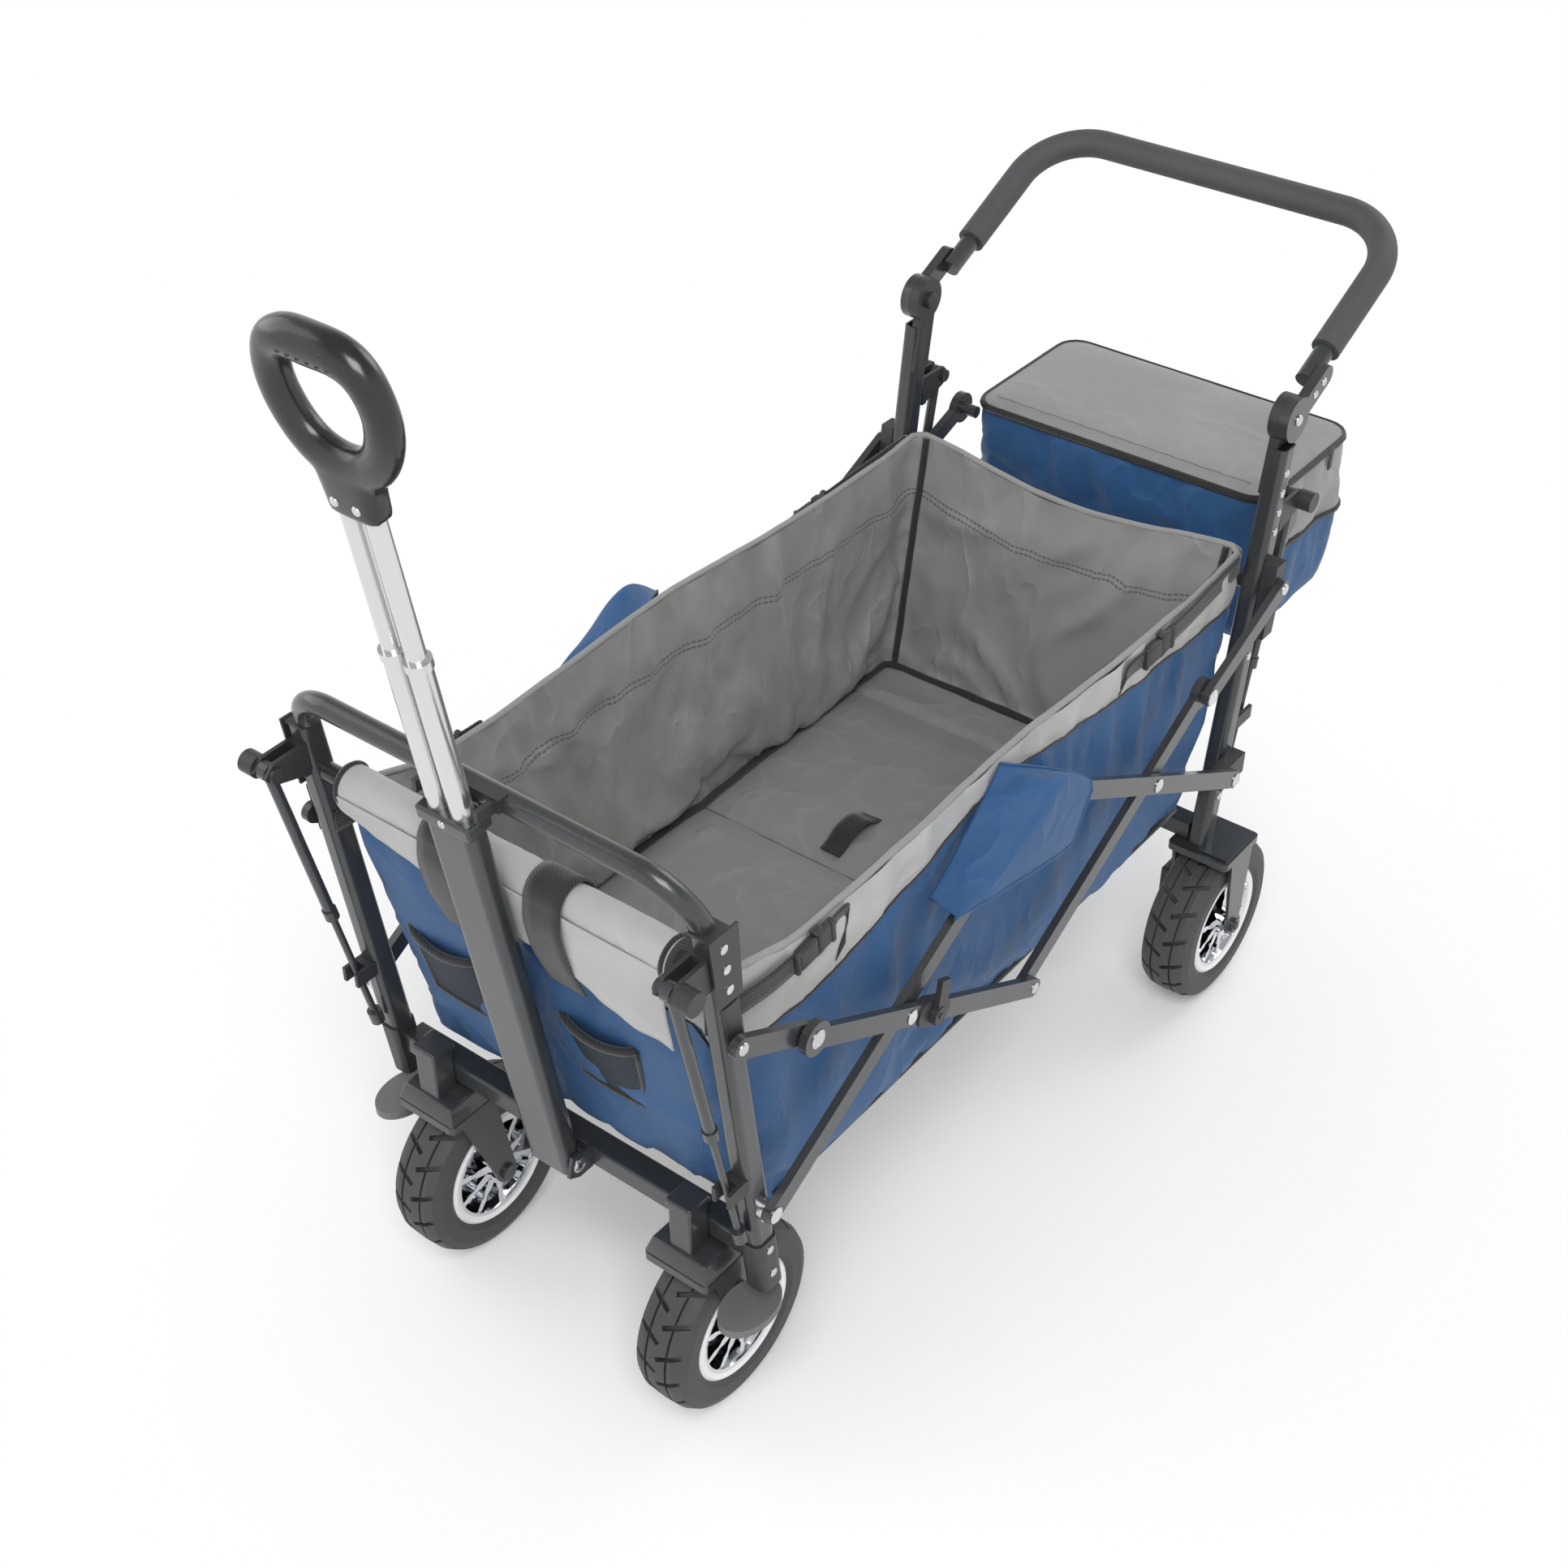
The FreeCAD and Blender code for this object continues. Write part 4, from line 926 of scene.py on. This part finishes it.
# %% Side-release buckles and their webbing
def buckle(name, y, z, tilt):
    x0, x1 = 213.6, 223.0
    parts = []
    for tag, low, high, edge in (("_a", (x0, -30, -11), (x1, -4, 11), 0.003),
                                 ("_b", (x0 + 1, -3, -12.5), (x1 - 1, 16, 12.5), 0.003),
                                 ("_c", (x0 + 2, 14, -13), (x1, 20, 13), 0.002),
                                 ("_d", (x0 + 2, -34, -12), (x1, -29, 12), 0.002),
                                 ("_e", (x0, -6, -15), (x1 - 2, 6, -9), 0.0025),
                                 ("_f", (x0, -6, 9), (x1 - 2, 6, 15), 0.0025)):
        low, high = (at(a, y + b, z + c) for a, b, c in (low, high))
        parts.append(block_of(name + tag, low, high, PLASTIC, "front_frame", "black_plastic", edge))
    obj = joined(name, parts)
    pivot = at(218, y, z)
    for v in obj.data.vertices:
        v.co = pivot + Matrix.Rotation(tilt, 3, "X") @ (v.co - pivot)
    return obj


for k, (y, z, tilt) in enumerate(((87.0, 548.0, 0.12), (656.0, 548.0, 0.05))):
    b = buckle("side_buckle_%d_right" % k, y, z, tilt)
    mirrored(b, "side_buckle_%d_left" % k)
for name, path, width, wide in (
        ("buckle_strap_front", [(214.2, -58, 556), (216.5, -30, 552), (217, 20, 545), (217.5, 56, 545)],
         0.022, (0, 0, 1)),
        ("buckle_tail_front", [(217.5, 106, 550), (216, 118, 551), (216, 130, 550), (216.5, 128, 540),
                               (218, 122, 528), (219, 118, 514)],
         0.02, lambda t: Vector((0.1, 0.35 * t, 1 - 0.4 * t))),
        ("buckle_strap_rear", [(217.5, 676, 549), (217, 720, 552), (215.5, 770, 556), (214, 822, 558)],
         0.022, (0, 0, 1)),
        ("buckle_tail_rear", [(217.5, 624, 548), (216, 606, 547), (216, 590, 543), (217, 586, 532)],
         0.02, lambda t: Vector((0.1, 0.3 * t, 1 - 0.3 * t)))):
    strap = strap_of(name + "_right", [at(*p) for p in path], width, wide)
    mirrored(strap, name + "_left")
print("flaps, buckles and straps made")


# %% [markdown]
# ## The rear bag
# A soft box with round corners: blue below, a pale band above, a zip round three sides and a padded lid.

# %% Bag body
BAG_Y = (918.0, 1126.0)


def bag_plan(u, hx, y0, y1):
    return around(u, hx, y0, y1, BAG_R, 2 * (hx - BAG_R), y1 - y0 - 2 * BAG_R)


BAG_R = 27.0
BAG_FOOT, BAG_TOP = 381.0, 575.0
BAG_ROW = 17
BU, BV = 160, 30


def bag_point(u, v):
    z = BAG_FOOT + (BAG_TOP - BAG_FOOT) * v
    low = 1 - v
    hx = 186.5 - 7 * low
    y0 = BAG_Y[0] + 20 * low
    y1 = BAG_Y[1] - 12 * low
    fold = min(1.0, v * 7)
    p, n = bag_plan(u, hx, y0, y1)
    rear = max(0.0, min(1.0, (p.y - 1060) / 60))
    bulge = (3.5 + 10 * rear) * math.sin(math.pi * v) - 14 * (1 - fold) ** 2
    p = p + n * bulge
    return at(p.x, p.y, z - 2.0 * (1 - fold)), n


bag = sheet_of("bag_sides", BU, BV, lambda u, v: bag_point(u, v)[0], [BLUE_CLOTH, LID_CLOTH],
               "rear_frame", "blue_cloth", closed=True, mat_at=lambda u, v: 0 if (v < 0.56 or u < 0.17 or u > 0.83) else 1)
bag_normals = []
for i in range(BU * (BV + 1)):
    n = bag_point((i % BU) / BU, (i // BU) / BV)[1]
    bag_normals.append(Vector((n.x, n.y, 0)))
bag_held = set(range(BU)) | set(range(BAG_ROW * BU, (BAG_ROW + 1) * BU)) | set(range(BV * BU, (BV + 1) * BU))
drape(bag, bag_held, 0.03, 0.006, 0.006, lambda i: bag_normals[i], 16, 4.0)
mesh_object("bag_base", [bag_point(i / BU, 0)[0] for i in range(BU)], [tuple(range(BU))[::-1]], [BLUE_CLOTH],
            "rear_frame", "blue_cloth", False)
band = [bag.data.vertices[BAG_ROW * BU + i].co + bag_normals[BAG_ROW * BU + i] * 0.0012 for i in range(28, 133)]
tube_of("bag_band_piping", band, 0.0032, WEBBING, "rear_frame", "black_webbing", False, 8, False)


# %% [markdown]
# The lid is a padded panel with a zip below its edge.  The zip teeth are a stripe pattern on a cord, as single
# teeth would be smaller than anyone sees.

# %% Zip and lid
def zip_teeth():
    mat, tree, shader = new_material("zip_teeth", (0.02, 0.02, 0.022), 0.4)
    co = tree.nodes.new("ShaderNodeTexCoord")
    wave = node(tree, "ShaderNodeTexWave", Scale=230.0, bands_direction="DIAGONAL")
    tree.links.new(co.outputs["Object"], wave.inputs["Vector"])
    bump = node(tree, "ShaderNodeBump", Strength=1.0, Distance=0.001)
    tree.links.new(wave.outputs["Fac"], bump.inputs["Height"])
    tree.links.new(bump.outputs["Normal"], shader.inputs["Normal"])
    tree.links.new(ramp(tree, wave.outputs["Fac"], [(0.3, (0.006, 0.006, 0.007)), (0.8, (0.05, 0.05, 0.052))]),
                   shader.inputs["Base Color"])
    return mat


ZIP = zip_teeth()
ring = [bag_plan(i / 120, 187.0, *BAG_Y)[0] for i in range(120)]
strip = [at(p.x, p.y, 576.2) for p in ring]
tube_of("bag_zip_tape", strip, 0.0042, ZIP, "rear_frame", "black_webbing", True, 8, False)


def lid_point(u, v):
    # v from the middle outwards
    p, n = bag_plan(u, 187.5, BAG_Y[0] + 0.5, BAG_Y[1] + 0.5)
    c = Vector((0, sum(BAG_Y) / 2))
    q = c + (p - c) * v
    rise = 1 - v ** 6
    z = 579.5 + 8.0 * rise + 1.5 * noise.noise(Vector((q.x * 0.012, q.y * 0.015, 2))) * rise
    crease = 1.2 * math.exp(-((q.x - 0.25 * (q.y - 1010) + 10) / 7) ** 2) * rise
    return at(q.x, q.y, z - crease)


sheet_of("bag_lid_top", 120, 40, lambda u, v: lid_point(u, 0.004 + 0.996 * v), [LID_CLOTH],
         "lid", "grey_cloth", closed=True)


def lid_lining_point(u, v):
    p = lid_point(u, 1.0 - 0.996 * v)
    return p if v == 0 else Vector((*p.xy, at(0, 0, 579).z))


sheet_of("bag_lid_lining", 120, 8, lid_lining_point, [FLOOR], "lid", "grey_cloth", closed=True)
rim_line = [lid_point(i / 120, 1.0) for i in range(120)]
tube_of("bag_lid_piping", rim_line, 0.0021, WEBBING, "lid", "black_webbing", True, 8, False)
front_seam = [at(x, 934 + 0.6 * math.sin(x), 587.4) for x in range(-166, 167, 8)]
tube_of("bag_lid_seam", front_seam, 0.0009, LID_CLOTH, "lid", "grey_cloth", False, 6, False)
for s, side in SIDES:
    joined("zip_slider_" + side,
           [block_of("zip_slider_%s_%s" % (side, tag), at(s * x - half, y0, z0), at(s * x + half, y1, z1),
                     PLASTIC, "rear_frame", "black_plastic", edge)
            for tag, x, half, y0, y1, z0, z1, edge in (("a", 188, 3, 1066, 1078, 571.5, 580, 0.0015),
                                                       ("b", 190.6, 1, 1068, 1076, 553, 573, 0.0009))])
print("bag made")


# %% [markdown]
# ## Pull handle grip
# The D-shaped grip is grown as one skin: a ring whose section swells at the fingers, and a neck.

# %% Grip
LEAN = math.radians(9.8)


def handle_at(x, y, z):
    """A point beside the pull handle: z runs up along its tubes from the hinge, y to the rear."""
    c, s = math.cos(LEAN), math.sin(LEAN)
    return at(x, -31 + y * c - z * s, 252 + y * s + z * c)


def grip_mesh():
    profile = [(0, 901, 17, 15), (26, 900, 16, 15), (43, 890, 15, 14), (51.5, 868, 15, 13), (50, 845, 15.5, 13),
               (40, 823, 16, 13), (24, 808, 17, 13)]
    left = [(-x, z, a, b) for x, z, a, b in reversed(profile[1:])]
    ring = profile + [(0, 802, 18, 13)] + left
    n = len(ring)
    fine = []
    for i in range(n):
        p = [Vector(ring[(i + k) % n]) for k in (-1, 0, 1, 2)]
        fine += [between(p, t / 8) for t in range(8)]
    verts = []
    m = len(fine)
    sides = 20
    for i, (x, z, a, b) in enumerate(fine):
        dx = fine[(i + 1) % m][0] - fine[i - 1][0]
        dz = fine[(i + 1) % m][1] - fine[i - 1][1]
        d = math.hypot(dx, dz)
        nx, nz = -dz / d, dx / d
        for k in range(sides):
            t = 2 * math.pi * k / sides
            verts.append(handle_at(x + nx * math.cos(t) * a, math.sin(t) * b, z + nz * math.cos(t) * a))
    obj = mesh_object("grip_ring", verts, ring_faces(m, sides, True), [GRIP], "pull_upper", "black_gloss")
    neck_v = []
    rows = [(761, 26, 12), (768, 26.5, 12.5), (780, 27, 13), (796, 30, 13), (812, 25, 11)]
    for z, hx, hy in rows:
        for k in range(28):
            t = 2 * math.pi * k / 28
            c, s = math.cos(t), math.sin(t)
            e = 0.55
            right, back = (1 if c > 0 else -1), (1 if s > 0 else -1)
            neck_v.append(handle_at(hx * abs(c) ** e * right, hy * abs(s) ** e * back, z))
    neck_f = ring_faces(len(rows), 28)
    neck_f.append(tuple(range(28))[::-1])
    neck_f.append(tuple((len(rows) - 1) * 28 + k for k in range(28)))
    neck = mesh_object("grip_neck", neck_v, neck_f, [GRIP], "pull_upper", "black_gloss")
    both = joined("pull_grip", [obj, neck])
    modifier(both, "REMESH", mode="VOXEL", voxel_size=0.0022)
    modifier(both, "SMOOTH", factor=0.6, iterations=14)
    apply_all(both)
    both.data.materials.clear()
    both.data.materials.append(GRIP)
    return both


def hood(side, s):
    """The tapered cover over each caster fork."""
    low, high = [(-37, -47), (37, -47), (37, 20), (-37, 20)], [(-31, -42), (31, -42), (31, 14), (-31, 14)]
    verts = [at(s * 160 + x, y, 205) for x, y in low] + [at(s * 160 + x, y, 213) for x, y in low]
    verts += [at(s * 160 + x, y, 231) for x, y in high]
    faces = [(3, 2, 1, 0), (8, 9, 10, 11)]
    for k in (0, 4):
        faces += [(k + i, k + (i + 1) % 4, k + 4 + (i + 1) % 4, k + 4 + i) for i in range(4)]
    obj = mesh_object("caster_hood_" + side, verts, faces, [PAINT], "caster_" + side, "frame_paint", False)
    modifier(obj, "BEVEL", width=0.0025, segments=3, limit_method="ANGLE")
    apply_all(obj)
    return obj


for s, side in SIDES:
    hood(side, s)
grip_mesh()
dots = []
for row, z in ((0, 904.5), (1, 897.5)):
    for k in range(6):
        x = -24 + 9.5 * k + row * 4
        p = handle_at(x, -13.2 - 0.6 * row, z + 1.5)
        ringp = [p + Vector((math.cos(t) * 0.0024, math.sin(LEAN) * math.sin(t) * 0.0024, math.sin(t) * 0.0024))
                 for t in [2 * math.pi * q / 10 for q in range(10)]]
        dots.append(tube_of("grip_dimple_%d_%d" % (row, k), ringp, 0.0006, GRIP, "pull_upper", "black_gloss",
                            True, 6, False))
joined("grip_dimples", dots)


def rivet(name, centre, normal, radius, body, mat=None, height=0.4):
    """A domed head on a surface, facing along normal."""
    n = Vector(normal).normalized()
    a = n.orthogonal().normalized()
    b = n.cross(a)
    verts, faces = [Vector(centre) + n * radius * height], []
    for j, (r, h) in enumerate(((0.45, 0.92), (0.75, 0.68), (0.95, 0.3), (1.0, 0.0), (1.0, -0.25))):
        for k in range(20):
            t = 2 * math.pi * k / 20
            verts.append(Vector(centre) + (a * math.cos(t) + b * math.sin(t)) * r * radius + n * h * height * radius)
    for k in range(20):
        faces.append((0, 1 + k, 1 + (k + 1) % 20))
    for j in range(4):
        for k in range(20):
            p, q = 1 + j * 20, 1 + (j + 1) * 20
            faces.append((p + k, q + k, q + (k + 1) % 20, p + (k + 1) % 20))
    return mesh_object(name, verts, faces, [mat or STEEL], body, "silver_rivets")


HUB_Y, HUB_Z = 859.0, 720.0  # pivot of the push handle
PUSH_RIVETS = (36.0, 54.0)  # distances from that pivot along the handle
POST_RIVETS = (452.0, 276.0, 662.0, 640.0)  # heights on the leaning rear posts
forward = handle_at(0, -1, 0) - handle_at(0, 0, 0)
for k, x in enumerate((-11, 11)):
    rivet("grip_bolt_%d" % k, handle_at(x, -12.6, 774), forward, 0.0042, "pull_upper")
rivet("collar_bolt", handle_at(0, -14.1, 455), forward, 0.004, "pull_sheath")
run = Vector((0, 1103 - HUB_Y, 837 - HUB_Z)).normalized()
for s, side in SIDES:
    for k, d in enumerate(PUSH_RIVETS):
        centre = at(s * 238.2, HUB_Y + run.y * d, HUB_Z + run.z * d)
        rivet("push_rivet_%s_%d" % (side, k), centre, (s, 0, 0), 0.0044, "push_handle")
    rivet("hub_rivet_" + side, at(s * 239, HUB_Y, HUB_Z), (s, 0, 0), 0.0062, "push_handle")
    rivet("link_rivet_front_" + side, at(s * 252.6, -56, 551), (s, 0, 0), 0.0062, "front_link")
    rivet("link_rivet_rear_" + side, at(s * 262.6, 835, 540), (s, 0, 0), 0.0062, "rear_link")
    for k, z in enumerate(POST_RIVETS):
        centre = at(s * 238, 791 + 0.13 * (z - 200), z)
        rivet("rear_post_rivet_%s_%d" % (side, k), centre, (s, 0, 0), 0.0045, "rear_frame")
print("grip and rivets made")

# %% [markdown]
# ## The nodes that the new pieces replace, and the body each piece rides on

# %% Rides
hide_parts("handle_grip")
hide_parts("tub_shell")
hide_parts("floor_mat")
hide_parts("tub_trim")
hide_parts("side_flaps")
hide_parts("side_buckles")
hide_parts("bag_body")
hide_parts("bag_lid")
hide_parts("bag_zip")
FIXED = ("front_roll", "roll_end", "front_strap", "pocket", "mesh_pocket")
for name, body in BODY_OF.items():
    obj = bpy.data.objects.get(name)
    if obj is None:
        continue
    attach(obj, body)
    if body == "front_frame" and not name.startswith(FIXED):
        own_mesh(obj)

# %% [markdown]
# ## Studio
# A pale floor that fades into a white background, one large soft key, a fill and a rim light.

# %% Camera, lights, floor
def studio():
    scene = bpy.context.scene
    scene.view_settings.view_transform = "Standard"
    cam = bpy.data.cameras.new("camera")
    cam.lens = 51.71
    cam.sensor_width = 36
    cam.clip_end = 50
    obj = bpy.data.objects.new("camera", cam)
    right = Vector((0.7889, 0.6145, -0.0003))
    up = Vector((-0.3730, 0.4793, 0.7944))
    back = Vector((0.4883, -0.6266, 0.6074))
    m = Matrix((right, up, back)).transposed().to_4x4()
    m.translation = at(1074.7, -1059.1, 1808.6)
    obj.matrix_world = m
    scene.collection.objects.link(obj)
    scene.camera = obj
    plane = bpy.data.meshes.new("studio_floor")
    plane.from_pydata([(-40, -40, 0), (40, -40, 0), (40, 40, 0), (-40, 40, 0)], [], [(0, 1, 2, 3)])
    floor_obj = bpy.data.objects.new("studio_floor", plane)
    scene.collection.objects.link(floor_obj)
    mat, tree, shader = new_material("studio_paper", (0.94, 0.94, 0.94), 0.9)
    shader.inputs["Specular IOR Level"].default_value = 0.1
    co = tree.nodes.new("ShaderNodeTexCoord")
    far = node(tree, "ShaderNodeVectorMath", operation="LENGTH")
    tree.links.new(co.outputs["Object"], far.inputs[0])
    fade = node(tree, "ShaderNodeMapRange", interpolation_type="SMOOTHSTEP")
    fade.inputs["From Min"].default_value = 0.3
    fade.inputs["From Max"].default_value = 1.0
    tree.links.new(far.outputs["Value"], fade.inputs["Value"])
    glow = node(tree, "ShaderNodeEmission", Strength=1.0)
    blend = tree.nodes.new("ShaderNodeMixShader")
    tree.links.new(fade.outputs[0], blend.inputs[0])
    tree.links.new(shader.outputs[0], blend.inputs[1])
    tree.links.new(glow.outputs[0], blend.inputs[2])
    tree.links.new(blend.outputs[0], tree.nodes["Material Output"].inputs[0])
    plane.materials.append(mat)
    world = bpy.data.worlds.new("studio")
    scene.world = world
    world.use_nodes = True
    tree = world.node_tree
    bg = tree.nodes["Background"]
    # white all round the horizon, a little dimmer overhead so that the shapes keep their shading
    way = tree.nodes.new("ShaderNodeTexCoord")
    parts = tree.nodes.new("ShaderNodeSeparateXYZ")
    tree.links.new(way.outputs["Generated"], parts.inputs[0])
    sky = ramp(tree, parts.outputs["Z"], [(0.3, (1, 1, 1)), (0.6, (0.42, 0.42, 0.42))])
    tree.links.new(sky, bg.inputs[0])
    bg.inputs[1].default_value = 1.0
    for name, place, size, energy in (("key", (1.6, -2.2, 3.4), 1.8, 88), ("fill", (-2.8, -1.2, 2.2), 2.6, 30),
                                      ("back", (0.5, 3.0, 2.8), 2.2, 40)):
        light = bpy.data.lights.new(name, "AREA")
        light.size = size
        light.energy = energy
        lamp = bpy.data.objects.new(name, light)
        lamp.location = place
        lamp.rotation_euler = (Vector((0, 0, 0.4)) - Vector(place)).to_track_quat("-Z", "Y").to_euler()
        scene.collection.objects.link(lamp)


studio()
